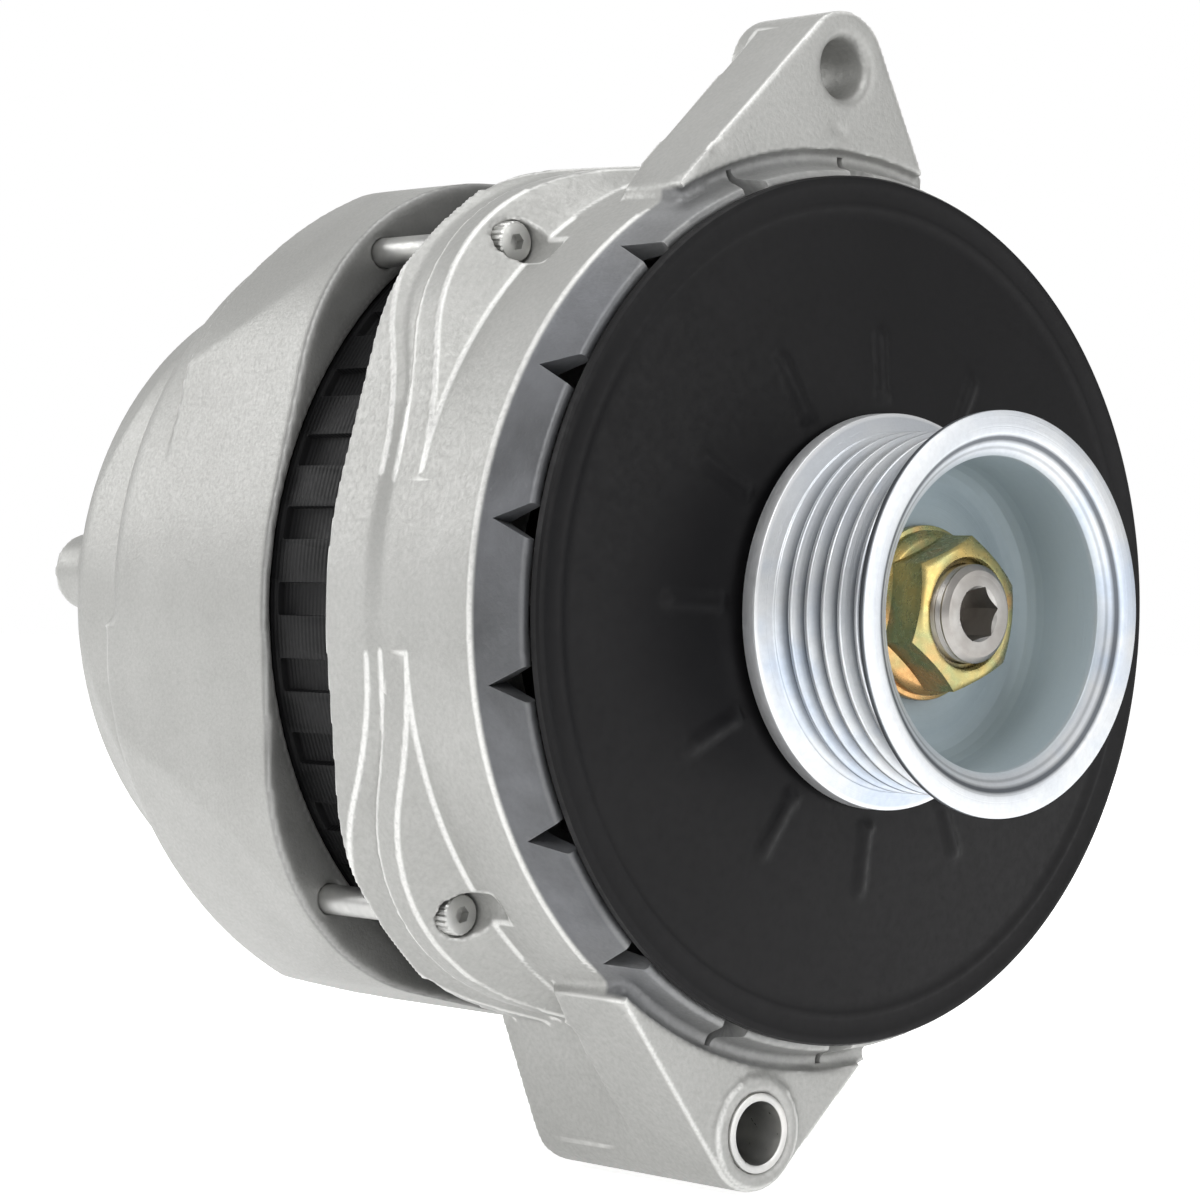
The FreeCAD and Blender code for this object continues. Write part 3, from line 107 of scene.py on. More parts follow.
def applied(obj, kind, **settings):
    pick(obj)
    mod = obj.modifiers.new(kind.title(), kind)
    for key, value in settings.items():
        setattr(mod, key, value)
    bpy.ops.object.modifier_apply(modifier=mod.name)
    return obj


def bevelled(obj, width, limit=32, segments=2):
    return applied(obj, "BEVEL", width=width * mm, segments=segments, limit_method="ANGLE",
                   angle_limit=math.radians(limit), harden_normals=False)


def combine(obj, other, how):
    # boolean with a helper piece that is thrown away
    applied(obj, "BOOLEAN", object=other, operation=how, solver="EXACT")
    bpy.data.objects.remove(other, do_unlink=True)
    return obj


def joinAll(pieces, name):
    deselectAll()
    for piece in pieces:
        piece.select_set(True)
    bpy.context.view_layer.objects.active = pieces[0]
    bpy.ops.object.join()
    return named(bpy.context.object, name)


def turnAboutShaft(obj, degrees):
    obj.rotation_euler = (0, math.radians(degrees), 0)
    return settle(obj)


def nodeCopy(node, name):
    source = nodes[node]
    twin = bpy.data.objects.new(name, source.data.copy())
    bpy.context.collection.objects.link(twin)
    twin.matrix_world = source.matrix_world
    settle(twin)
    twin.data.materials.clear()
    bpy.ops.mesh.customdata_custom_splitnormals_clear()
    edit(twin)
    bpy.ops.mesh.select_all(action="SELECT")
    bpy.ops.mesh.remove_doubles(threshold=0.000005)
    objectMode()
    return named(twin, name)


def softCopy(node, name, width, segments=2):
    # CAD shape with rounded edges
    piece = nodeCopy(node, name)
    edit(piece)
    bpy.ops.mesh.select_all(action="SELECT")
    bpy.ops.mesh.dissolve_limited(angle_limit=math.radians(2.0))
    objectMode()
    return smooth(bevelled(piece, width, 28, segments))


def turned(name, profile, steps, rounding=0.25, segments=2, sweep=360):
    # profile points are (radius, place along the shaft) in mm
    deselectAll()
    start = Vector((profile[0][0] * mm, profile[0][1] * mm, 0))
    bpy.ops.mesh.primitive_plane_add(size=mm, location=start)
    obj = named(bpy.context.object, name)
    settle(obj)
    edit(obj)
    bpy.ops.mesh.select_all(action="SELECT")
    bpy.ops.mesh.merge(type="CENTER")
    last = start
    for radius, along in profile[1:] + profile[:1]:
        point = Vector((radius * mm, along * mm, 0))
        bpy.ops.mesh.extrude_vertices_move(TRANSFORM_OT_translate={"value": point - last})
        last = point
    bpy.ops.mesh.select_all(action="SELECT")
    bpy.ops.mesh.remove_doubles(threshold=0.000001)
    if rounding:
        mesh = bmesh.from_edit_mesh(obj.data)
        for vert in mesh.verts:
            vert.select = len(vert.link_edges) == 2 and vert.co.x > 0.05 * mm
        mesh.select_flush_mode()
        bmesh.update_edit_mesh(obj.data)
        bpy.ops.mesh.bevel(offset=rounding * mm, segments=segments, affect="VERTICES", clamp_overlap=True)
    bpy.ops.mesh.select_all(action="SELECT")
    bpy.ops.mesh.spin(steps=steps, angle=math.radians(sweep), center=(0, 0, 0), axis=(0, 1, 0))
    bpy.ops.mesh.select_all(action="SELECT")
    bpy.ops.mesh.remove_doubles(threshold=0.000002)
    if sweep < 360:
        bpy.ops.mesh.fill_holes(sides=0)
    bpy.ops.mesh.normals_make_consistent(inside=False)
    objectMode()
    return smooth(obj)


def hexBar(name, flats, low, high, turn):
    # hexagon bar along the shaft
    deselectAll()
    bpy.ops.mesh.primitive_cylinder_add(vertices=6, radius=flats / math.sqrt(3) * mm, depth=(high - low) * mm,
                                        location=(0, 0.5 * (low + high) * mm, 0), rotation=(math.pi / 2, 0, 0))
    obj = settle(named(bpy.context.object, name))
    return turnAboutShaft(obj, 30 - turn)


def shift(obj, x, z):
    obj.location = (x * mm, 0, z * mm)
    return settle(obj)


def dress(obj, body, material, slot, *replaced):
    obj.data.materials.clear()
    obj.data.materials.append(material)
    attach(obj, body)
    if replaced:
        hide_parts(*replaced)
    return obj


# camera, floor and lights

view = {"place": (-0.44528, -0.40361, 0.0009), "turn": (90.0, -1.26, -42.434), "lens": 111.6, "sensor": 36,
        "near": 0.01}
bpy.ops.object.camera_add(location=view["place"], rotation=[math.radians(a) for a in view["turn"]])
camera = bpy.context.object
camera.data.lens = view["lens"]
camera.data.sensor_width = view["sensor"]
camera.data.clip_start = view["near"]
bpy.context.scene.camera = camera
bpy.context.scene.view_settings.view_transform = "Standard"

studio = {"floorDrop": 0.0006, "floorWidth": 12.0, "floorGlow": 0.75, "sky": 0.5, "ground": 0.22,
          "lamps": [  # name, place, aim, size, watts
              ("keyLeft", (-1.05, -0.55, 0.95), (0, 0.04, 0), 0.75, 8.5),
              ("fillRight", (0.55, -1.3, 0.35), (0, 0.02, 0), 0.9, 5),
              ("topSoft", (-0.1, 0.1, 1.3), (0, 0.05, 0), 0.9, 6),
              ("rearRim", (-0.7, 1.2, 0.5), (0, 0.1, 0), 0.7, 5),
              ("rearFill", (1.2, 0.9, 0.4), (0, 0.1, 0), 0.9, 6)]}


def aimAt(obj, target):
    obj.rotation_euler = (Vector(target) - obj.location).to_track_quat("-Z", "Y").to_euler()


for lampName, spot, target, size, watts in studio["lamps"]:
    bpy.ops.object.light_add(type="AREA", location=spot)
    lamp = bpy.context.object
    lamp.name = lampName
    lamp.data.size = size
    lamp.data.energy = watts
    aimAt(lamp, target)
print("camera and lamps set")


# material building

def place(tree, kind, **settings):
    node = tree.nodes.new(kind)
    for key, value in settings.items():
        setattr(node, key, value)
    return node


def wire(tree, source, target):
    tree.links.new(source, target)


def math2(tree, how, a, b=None):
    node = place(tree, "ShaderNodeMath", operation=how)
    for socket, value in zip(node.inputs, (a, b)):
        if value is None:
            continue
        if isinstance(value, (int, float)):
            socket.default_value = value
        else:
            wire(tree, value, socket)
    return node.outputs[0]


def both(tree, a, b):
    return math2(tree, "MULTIPLY", a, b)


def spread(tree, value, low, high, toLow=0.0, toHigh=1.0):
    node = place(tree, "ShaderNodeMapRange")
    wire(tree, value, node.inputs["Value"])
    for key, number in (("From Min", low), ("From Max", high), ("To Min", toLow), ("To Max", toHigh)):
        if isinstance(number, (int, float)):
            node.inputs[key].default_value = number
        else:
            wire(tree, number, node.inputs[key])
    return node.outputs["Result"]


def blendColour(tree, factor, a, b):
    node = place(tree, "ShaderNodeMix", data_type="RGBA")
    for socket, value in ((node.inputs[0], factor), (node.inputs[6], a), (node.inputs[7], b)):
        if isinstance(value, (int, float)):
            socket.default_value = value
        elif isinstance(value, tuple):
            socket.default_value = value + (1,)
        else:
            wire(tree, value, socket)
    return node.outputs[2]


def noise(tree, scale, detail=3.0, rough=0.55, vector=None, dims="3D"):
    node = place(tree, "ShaderNodeTexNoise", noise_dimensions=dims)
    node.inputs["Detail"].default_value = detail
    node.inputs["Roughness"].default_value = rough
    if isinstance(scale, (int, float)):
        node.inputs["Scale"].default_value = scale
    else:
        wire(tree, scale, node.inputs["Scale"])
    if vector is not None:
        wire(tree, vector, node.inputs["W" if dims == "1D" else "Vector"])
    return node.outputs["Fac"]


def startGroup(name, inputs, outputs):
    tree = bpy.data.node_groups.new(name, "ShaderNodeTree")
    for label, kind, value in inputs:
        socket = tree.interface.new_socket(name=label, in_out="INPUT", socket_type=kind)
        socket.default_value = value
    for label, kind in outputs:
        tree.interface.new_socket(name=label, in_out="OUTPUT", socket_type=kind)
    return tree, tree.nodes.new("NodeGroupInput"), tree.nodes.new("NodeGroupOutput")


floatKind, colourKind = "NodeSocketFloat", "NodeSocketColor"

# sand-cast skin: fine grain, larger waves and small pits
skinSize = {"waves": 160, "waveHigh": 1.6, "pits": 620, "pitEdge": 0.32, "patches": 28}
castGrain, into, out = startGroup("castGrain", [("Size", floatKind, 1500.0), ("Pits", floatKind, 0.3)],
                                  [("Height", floatKind), ("Tone", floatKind), ("Patch", floatKind)])
objectPlace = place(castGrain, "ShaderNodeTexCoord").outputs["Object"]
fine = noise(castGrain, into.outputs["Size"], 3, 0.6, objectPlace)
wavy = noise(castGrain, skinSize["waves"], 2, 0.5, objectPlace)
pitMap = place(castGrain, "ShaderNodeTexVoronoi")
wire(castGrain, objectPlace, pitMap.inputs["Vector"])
pitMap.inputs["Scale"].default_value = skinSize["pits"]
pit = spread(castGrain, pitMap.outputs["Distance"], 0.0, skinSize["pitEdge"])
pitDepth = both(castGrain, math2(castGrain, "SUBTRACT", 1.0, pit), into.outputs["Pits"])
height = math2(castGrain, "ADD", fine, both(castGrain, wavy, skinSize["waveHigh"]))
wire(castGrain, math2(castGrain, "SUBTRACT", height, pitDepth), out.inputs["Height"])
wire(castGrain, spread(castGrain, fine, 0.3, 0.7), out.inputs["Tone"])
patches = noise(castGrain, skinSize["patches"], 4, 0.6, objectPlace)
wire(castGrain, spread(castGrain, patches, 0.35, 0.68), out.inputs["Patch"])

# brighter edges, partly worn bright and partly painted highlight, and painted shade in concave corners, both from the
# mesh's own curvature
sheenAndShadeSize = {"broken": 420, "cornerFrom": 0.475, "cornerTo": 0.43}
edgeSheenAndCornerShade, into, out = startGroup("edgeSheenAndCornerShade", [("Edge", floatKind, 0.53), ("Span", floatKind, 0.05)],
                                 [("Edges", floatKind), ("Corners", floatKind)])
curve = place(edgeSheenAndCornerShade, "ShaderNodeNewGeometry").outputs["Pointiness"]
objectPlace = place(edgeSheenAndCornerShade, "ShaderNodeTexCoord").outputs["Object"]
broken = spread(edgeSheenAndCornerShade, noise(edgeSheenAndCornerShade, sheenAndShadeSize["broken"], 3, 0.6, objectPlace), 0.3, 0.62, 0.45, 1.0)
top = math2(edgeSheenAndCornerShade, "ADD", into.outputs["Edge"], into.outputs["Span"])
wire(edgeSheenAndCornerShade, both(edgeSheenAndCornerShade, spread(edgeSheenAndCornerShade, curve, into.outputs["Edge"], top), broken), out.inputs["Edges"])
wire(edgeSheenAndCornerShade, spread(edgeSheenAndCornerShade, curve, sheenAndShadeSize["cornerFrom"], sheenAndShadeSize["cornerTo"]), out.inputs["Corners"])

# rings left by the lathe round the shaft
lathe, into, out = startGroup("latheRings", [("Pitch", floatKind, 5000.0), ("Streaks", floatKind, 1100.0)],
                              [("Height", floatKind), ("Streak", floatKind), ("Radius", floatKind),
                               ("Along", floatKind), ("Across", floatKind)])
objectPlace = place(lathe, "ShaderNodeTexCoord").outputs["Object"]
parts = place(lathe, "ShaderNodeSeparateXYZ")
wire(lathe, objectPlace, parts.inputs[0])
radius = math2(lathe, "SQRT", math2(lathe, "ADD", both(lathe, parts.outputs[0], parts.outputs[0]),
                                    both(lathe, parts.outputs[2], parts.outputs[2])))
line = math2(lathe, "ADD", radius, parts.outputs[1])
ridges = noise(lathe, into.outputs["Pitch"], 2, 0.5, line, "1D")
broad = noise(lathe, into.outputs["Streaks"], 3, 0.6, line, "1D")
wire(lathe, math2(lathe, "ADD", ridges, broad), out.inputs["Height"])
wire(lathe, spread(lathe, broad, 0.3, 0.7), out.inputs["Streak"])
wire(lathe, radius, out.inputs["Radius"])
wire(lathe, parts.outputs[1], out.inputs["Along"])
wire(lathe, parts.outputs[0], out.inputs["Across"])

# drifting tint of a plated skin
bloomSize = 900
white = (1, 1, 1, 1)
plating, into, out = startGroup("platingTint", [("First", colourKind, white), ("Second", colourKind, white),
                                                ("Third", colourKind, white), ("Drift", floatKind, 60.0)],
                                [("Tint", colourKind), ("Bloom", floatKind)])
objectPlace = place(plating, "ShaderNodeTexCoord").outputs["Object"]
drift = noise(plating, into.outputs["Drift"], 3, 0.6, objectPlace)
bloom = noise(plating, bloomSize, 4, 0.65, objectPlace)
pair = blendColour(plating, spread(plating, drift, 0.36, 0.5), into.outputs["First"], into.outputs["Second"])
trio = blendColour(plating, spread(plating, drift, 0.52, 0.66), pair, into.outputs["Third"])
wire(plating, trio, out.inputs["Tint"])
wire(plating, spread(plating, bloom, 0.35, 0.65), out.inputs["Bloom"])


def startMaterial(name, metallic, roughness=0.5):
    material = bpy.data.materials.new(name)
    material.use_nodes = True
    tree = material.node_tree
    shader = tree.nodes["Principled BSDF"]
    shader.inputs["Metallic"].default_value = metallic
    shader.inputs["Roughness"].default_value = roughness
    return material, tree, shader


def useGroup(tree, group, **values):
    node = place(tree, "ShaderNodeGroup", node_tree=group)
    for key, value in values.items():
        socket = node.inputs[key]
        socket.default_value = value + (1,) if isinstance(value, tuple) else value
    return node


def addBump(tree, shader, height, strength, distance):
    bump = place(tree, "ShaderNodeBump")
    bump.inputs["Strength"].default_value = strength
    bump.inputs["Distance"].default_value = distance
    wire(tree, height, bump.inputs["Height"])
    wire(tree, bump.outputs["Normal"], shader.inputs["Normal"])


def castMaterial(name, light, dark, edge, rough, metallic, grain, bump, zone=None):
    material, tree, shader = startMaterial(name, metallic)
    skin = useGroup(tree, castGrain, Size=grain)
    edgeSheenShade = useGroup(tree, edgeSheenAndCornerShade, Edge=0.52, Span=0.045)
    base = blendColour(tree, skin.outputs["Patch"], dark, light)
    tone = blendColour(tree, spread(tree, skin.outputs["Tone"], 0, 1, 0.0, 0.2), base, (0.22, 0.22, 0.21))
    # edges made brighter: partly worn bright, partly painted highlight lines marked on the cast pieces
    line = place(tree, "ShaderNodeAttribute", attribute_name="paintedEdgeHighlight").outputs["Fac"]
    line = both(tree, spread(tree, line, 0.2, 0.75, 0.0, 0.95),
                spread(tree, skin.outputs["Tone"], 0.1, 0.6, 0.7, 1.0))
    edgeWearAndHighlight = math2(tree, "MAXIMUM", both(tree, edgeSheenShade.outputs["Edges"], 0.85), line)
    if zone:
        # darker mottled zone over one face, with the edge highlights faded in it: on the front casting the shroud
        # cone, partly the cast skin and partly painted shade; on the rear casting its front face
        rings = useGroup(tree, lathe)
        inward = spread(tree, rings.outputs["Radius"], zone["radius"] * mm, (zone["radius"] - 0.8) * mm)
        forward = spread(tree, rings.outputs["Along"], zone["along"] * mm, (zone["along"] - zone["fade"]) * mm)
        # painted shade deeper towards the -X side, weaker on the far side
        across = spread(tree, rings.outputs["Across"], zone["side"] * mm, 0.0, zone["amount"], zone["far"])
        shade = both(tree, both(tree, inward, forward), across)
        mottled = blendColour(tree, skin.outputs["Patch"], tuple(0.55 * c for c in zone["colour"]),
                              tuple(1.6 * c for c in zone["colour"]))
        tone = blendColour(tree, shade, tone, mottled)
        edgeWearAndHighlight = both(tree, edgeWearAndHighlight, math2(tree, "SUBTRACT", 1.0, shade))
    # painted shade in concave corners
    cornerShaded = blendColour(tree, both(tree, edgeSheenShade.outputs["Corners"], 0.5), tone, (0.08, 0.08, 0.078))
    colour = blendColour(tree, edgeWearAndHighlight, cornerShaded, edge)
    wire(tree, colour, shader.inputs["Base Color"])
    wire(tree, spread(tree, skin.outputs["Tone"], 0, 1, rough - 0.07, rough + 0.08), shader.inputs["Roughness"])
    addBump(tree, shader, skin.outputs["Height"], bump, 0.00014)
    return material


def metalMaterial(name, colours, rough, rings=0.0, drift=60.0, metallic=1.0, spots=0.1, zones=None):
    material, tree, shader = startMaterial(name, metallic)
    tint = useGroup(tree, plating, First=colours[0], Second=colours[1], Third=colours[2], Drift=drift)
    turning = useGroup(tree, lathe)
    colour = blendColour(tree, spread(tree, tint.outputs["Bloom"], 0, 1, 0.0, spots), tint.outputs["Tint"],
                         tuple(0.45 * c for c in colours[0]))
    uneven = math2(tree, "ADD", spread(tree, tint.outputs["Bloom"], 0, 1, -0.05, 0.06),
                   spread(tree, turning.outputs["Streak"], 0, 1, rough - 0.03, rough + 0.04))
    if zones:
        turning.inputs["Streaks"].default_value = zones["streaks"]
        away, along = turning.outputs["Radius"], turning.outputs["Along"]
        fade = {key: spread(tree, away if key.endswith("Radius") else along, low * mm, high * mm)
                for key, (low, high) in zones["fades"].items()}
        # blue-grey painted shade and painted reflection down in the deep cup, which is also less metallic and rougher
        inside = both(tree, fade["cupRadius"], fade["cupAlong"])
        colour = blendColour(tree, inside, colour, zones["cup"])
        wire(tree, spread(tree, inside, 0, 1, metallic, zones["cupMetal"]), shader.inputs["Metallic"])
        uneven = math2(tree, "ADD", uneven, both(tree, inside, zones["cupRough"]))
        # painted shade down in the belt grooves and behind the front flange
        deep = both(tree, both(tree, fade["grooveRadius"], fade["wallRadius"]), fade["grooveAlong"])
        behind = both(tree, both(tree, fade["flangeRadius"], fade["flangeAlong"]), fade["lipAlong"])
        # painted highlight: the flat rim at the pulley's rear is made near-white
        land = both(tree, fade["landRadius"], fade["landAlong"])
        colour = blendColour(tree, both(tree, land, 0.8), colour, zones["land"])
        shade = math2(tree, "MAXIMUM", both(tree, deep, 0.85), both(tree, behind, 0.9))
        colour = blendColour(tree, shade, colour, zones["groove"])
    wire(tree, colour, shader.inputs["Base Color"])
    wire(tree, uneven, shader.inputs["Roughness"])
    height = math2(tree, "ADD", both(tree, turning.outputs["Height"], rings), both(tree, tint.outputs["Bloom"], 0.1))
    addBump(tree, shader, height, 0.35, 0.00005)
    return material


def dullMaterial(name, first, second, rough, size=900.0, bump=0.3, gloss=0.5, metallic=0.0):
    material, tree, shader = startMaterial(name, metallic)
    skin = useGroup(tree, castGrain, Size=size, Pits=0.1)
    wire(tree, blendColour(tree, skin.outputs["Patch"], first, second), shader.inputs["Base Color"])
    wire(tree, spread(tree, skin.outputs["Tone"], 0, 1, rough - 0.06, rough + 0.08), shader.inputs["Roughness"])
    shader.inputs["Specular IOR Level"].default_value = gloss
    addBump(tree, shader, skin.outputs["Height"], bump, 0.00008)
    return material


def bandedMaterial(name, first, second, rough, scale, direction, bump, metallic=0.0, distance=0.00012, gloss=0.5):
    # stacked sheets or wound wire: fine lines across one direction
    material, tree, shader = startMaterial(name, metallic)
    skin = useGroup(tree, castGrain, Size=1300.0, Pits=0.1)
    coords = place(tree, "ShaderNodeTexCoord")
    shader.inputs["Specular IOR Level"].default_value = gloss
    waves = place(tree, "ShaderNodeTexWave", bands_direction=direction)
    waves.inputs["Scale"].default_value = scale
    waves.inputs["Distortion"].default_value = 0.4
    wire(tree, coords.outputs["Object"], waves.inputs["Vector"])
    lines = spread(tree, waves.outputs["Fac"], 0.0, 1.0)
    base = blendColour(tree, lines, first, second)
    wire(tree, blendColour(tree, spread(tree, skin.outputs["Patch"], 0, 1, 0.0, 0.4), base, first),
         shader.inputs["Base Color"])
    wire(tree, spread(tree, skin.outputs["Tone"], 0, 1, rough - 0.06, rough + 0.08), shader.inputs["Roughness"])
    addBump(tree, shader, math2(tree, "ADD", lines, both(tree, skin.outputs["Height"], 0.2)), bump, distance)
    return material


# where a finish changes over its piece, in mm from the shaft axis or along it
# front: the shroud cone, partly cast skin and partly painted shade; rear: the rear casting's front face made darker
darkCastZones = {"front": {"radius": 76.8, "along": 31.2, "fade": 0.8, "side": -55.0, "amount": 0.93, "far": 0.15,
                    "colour": (0.108, 0.112, 0.122)},
          "rear": {"radius": 90.0, "along": 85.6, "fade": 0.6, "side": -55.0, "amount": 0.7, "far": 0.7,
                   "colour": (0.17, 0.17, 0.165)}}
# the cup colour is painted shade and blue reflection, the groove colour painted shade, the near-white colour for the
# rear flat rim a painted highlight
pulleyZones = {"cup": (0.38, 0.45, 0.49), "cupMetal": 0.25, "cupRough": 0.15, "streaks": 1400.0,
               "land": (0.93, 0.94, 0.95), "groove": (0.09, 0.10, 0.115), "fades": {
                   "cupRadius": (26.2, 25.5), "cupAlong": (-10.5, -8.5),
                   "grooveRadius": (29.0, 27.5), "wallRadius": (26.2, 26.6), "grooveAlong": (-10.6, -10.2),
                   "flangeRadius": (27.2, 27.8), "flangeAlong": (-9.3, -10.1), "lipAlong": (-11.65, -11.4),
                   "landRadius": (31.6, 32.0), "landAlong": (11.4, 11.9)}}
finish = {
    "castFront": castMaterial("castFront", (0.475, 0.475, 0.46), (0.405, 0.405, 0.39), (0.80, 0.80, 0.78), 0.47, 0.5,
                              1200.0, 0.55, darkCastZones["front"]),
    "castRear": castMaterial("castRear", (0.45, 0.45, 0.435), (0.39, 0.39, 0.375), (0.84, 0.84, 0.83), 0.47, 0.5,
                             1700.0, 0.4, darkCastZones["rear"]),
    "fan": dullMaterial("fanBlack", (0.0036, 0.0034, 0.0040), (0.0060, 0.0057, 0.0064), 0.45, 700.0, 0.22, 0.17),
    "zinc": metalMaterial("zincPlate", [(0.68, 0.71, 0.75), (0.75, 0.77, 0.79), (0.61, 0.68, 0.78)], 0.42, 1.3,
                          45.0, 0.85, zones=pulleyZones),
    "chromate": metalMaterial("yellowChromate", [(0.68, 0.50, 0.18), (0.40, 0.40, 0.19), (0.72, 0.41, 0.17)],
                              0.28, 0.1, 75.0, spots=0.2),
    "shaft": metalMaterial("shaftSteel", [(0.44, 0.42, 0.39), (0.37, 0.35, 0.33), (0.50, 0.49, 0.47)], 0.36, 0.9),
    "lamination": bandedMaterial("laminationBlack", (0.003, 0.003, 0.0034), (0.009, 0.009, 0.0095), 0.5, 320.0,
                                 "Y", 0.4, gloss=0.18),
    "winding": bandedMaterial("enamelCopper", (0.24, 0.075, 0.028), (0.42, 0.15, 0.055), 0.36, 150.0, "DIAGONAL",
                              0.7, 0.4, 0.0003),
    "fieldWire": bandedMaterial("fieldWire", (0.22, 0.07, 0.025), (0.40, 0.14, 0.05), 0.36, 330.0, "Y", 0.6, 0.4),
    "bearing": metalMaterial("bearingSteel", [(0.62, 0.62, 0.62), (0.56, 0.56, 0.57), (0.68, 0.68, 0.67)], 0.2, 0.3),
    "brass": metalMaterial("brassCage", [(0.62, 0.44, 0.16), (0.55, 0.38, 0.13), (0.66, 0.50, 0.22)], 0.3, 0.2),
    "iron": dullMaterial("rotorIron", (0.10, 0.095, 0.09), (0.17, 0.16, 0.15), 0.5, 1200.0, 0.35, 0.5, 0.7),
    "slip": metalMaterial("slipCopper", [(0.72, 0.36, 0.20), (0.66, 0.31, 0.17), (0.76, 0.43, 0.26)], 0.2, 0.8),
    "carbon": dullMaterial("carbon", (0.018, 0.018, 0.019), (0.035, 0.035, 0.036), 0.62, 1600.0, 0.3),
    "plastic": dullMaterial("blackPlastic", (0.012, 0.012, 0.013), (0.022, 0.022, 0.022), 0.48, 1400.0, 0.22),
    "steel": metalMaterial("boltSteel", [(0.52, 0.52, 0.50), (0.46, 0.46, 0.45), (0.57, 0.57, 0.55)], 0.38, 0.3,
                           90.0, 0.9, spots=0.05),
    "sleeve": metalMaterial("sleeveSteel", [(0.60, 0.60, 0.58), (0.55, 0.55, 0.54), (0.66, 0.65, 0.63)], 0.34,
                            0.3, 90.0, spots=0.04),
    "spring": metalMaterial("springSteel", [(0.40, 0.40, 0.41), (0.34, 0.34, 0.35), (0.45, 0.45, 0.44)], 0.3),
    "sink": castMaterial("sinkAluminium", (0.62, 0.63, 0.64), (0.54, 0.55, 0.56), (0.85, 0.85, 0.85), 0.4, 0.8,
                         2400.0, 0.15),
}
print("materials ready:", len(finish))

# floor and world
deselectAll()
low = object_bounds()[0][2] - studio["floorDrop"]
bpy.ops.mesh.primitive_plane_add(size=studio["floorWidth"], location=(0, 0, low))
floor = settle(named(bpy.context.object, "floor"))
floorMaterial, tree, shader = startMaterial("floorWhite", 0.0, 0.85)
speck = noise(tree, 40, 2, 0.5, place(tree, "ShaderNodeTexCoord").outputs["Object"])
wire(tree, blendColour(tree, speck, (0.84, 0.84, 0.84), (0.86, 0.86, 0.86)), shader.inputs["Base Color"])
path = place(tree, "ShaderNodeLightPath")
seen = math2(tree, "MAXIMUM", math2(tree, "MAXIMUM", path.outputs["Is Camera Ray"], path.outputs["Is Glossy Ray"]),
             path.outputs["Is Transmission Ray"])
glow = place(tree, "ShaderNodeEmission")
wire(tree, both(tree, seen, studio["floorGlow"]), glow.inputs["Strength"])
total = place(tree, "ShaderNodeAddShader")
wire(tree, shader.outputs[0], total.inputs[0])
wire(tree, glow.outputs[0], total.inputs[1])
wire(tree, total.outputs[0], tree.nodes["Material Output"].inputs["Surface"])
floor.data.materials.append(floorMaterial)

world = bpy.data.worlds.new("studioWorld")
bpy.context.scene.world = world
world.use_nodes = True
tree = world.node_tree
background = tree.nodes["Background"]
path = place(tree, "ShaderNodeLightPath")
split = place(tree, "ShaderNodeSeparateXYZ")
wire(tree, place(tree, "ShaderNodeTexCoord").outputs["Generated"], split.inputs[0])
rise = spread(tree, split.outputs[2], -0.6, 0.7, studio["ground"], studio["sky"])
seen = math2(tree, "MAXIMUM", path.outputs["Is Camera Ray"], path.outputs["Is Transmission Ray"])
level = math2(tree, "ADD", rise, both(tree, seen, math2(tree, "SUBTRACT", 1.0, rise)))
wire(tree, level, background.inputs["Strength"])
background.inputs["Color"].default_value = white
print("floor and world ready")


# pulley, washer, nut and shaft end

pulleySize = {"flange": 32.4, "rib": 29.4, "groove": 27.0, "front": -11.8, "lip": 1.2, "pitch": 3.56,
              "grooves": 6, "flat": 0.7, "slope": 1.2, "mouth": 28.9, "cup": 25.2, "floor": 6.8, "web": 4.2,
              "rim": 24.6, "rear": 14.76, "hub": 14.0, "hubEnd": 16.0, "bore": 8.5, "fillet": 5.0,
              "mouthDeep": 2.2}


def makePulley(s):
    first = s["front"] + s["lip"]
    profile = [(s["mouth"], s["front"]), (s["flange"], s["front"]), (s["flange"], first)]
    for i in range(s["grooves"]):
        start = first + i * s["pitch"]
        profile += [(s["groove"], start + 0.5 * (s["pitch"] - s["flat"])),
                    (s["groove"], start + 0.5 * (s["pitch"] + s["flat"])),
                    (s["rib"], start + s["pitch"] - 0.5 * s["flat"]),
                    (s["rib"], start + s["pitch"] + 0.5 * s["flat"])]
    last = first + s["grooves"] * s["pitch"]
    profile[-1] = (s["rib"], last)
    profile += [(s["flange"], last + s["slope"]), (s["flange"], s["rear"]), (s["rim"], s["rear"]),
                (s["rim"], s["floor"] + s["web"]), (s["hub"], s["floor"] + s["web"]), (s["hub"], s["hubEnd"]),
                (s["bore"], s["hubEnd"]), (s["bore"], s["floor"])]
    for i in range(6):  # fillet at the cup's floor
        swing = math.radians(18 * i)
        profile.append((s["cup"] - s["fillet"] * (1 - math.sin(swing)),
                        s["floor"] - s["fillet"] * (1 - math.cos(swing))))
    profile.append((s["cup"], s["front"] + s["mouthDeep"]))
    return turned("pulleyTurned", profile, 192, 0.15, 2)


dress(makePulley(pulleySize), "rotor", finish["zinc"], "zinc_plate", "pulley")
washerSize = {"bore": 8.5, "edge": 14.2, "front": 5.2, "rear": 6.8}


def makeRing(name, s, steps, rounding):
    return turned(name, [(s["bore"], s["front"]), (s["edge"], s["front"]), (s["edge"], s["rear"]),
                         (s["bore"], s["rear"])], steps, rounding)


washer = makeRing("washerTurned", washerSize, 96, 0.2)
dress(washer, "rotor", finish["chromate"], "yellow_chromate", "pulley_washer")

nutSize = {"flats": 22.0, "turn": 22.0, "face": -4.0, "hexEnd": 3.2, "end": 5.2, "flange": 13.4, "bore": 8.05,
           "crown": 10.3, "crownWide": 3.4, "crownDeep": 1.7, "skirtTop": 10.6, "skirtLip": 12.2, "thread": 1.25,
           "bevel": 0.22}


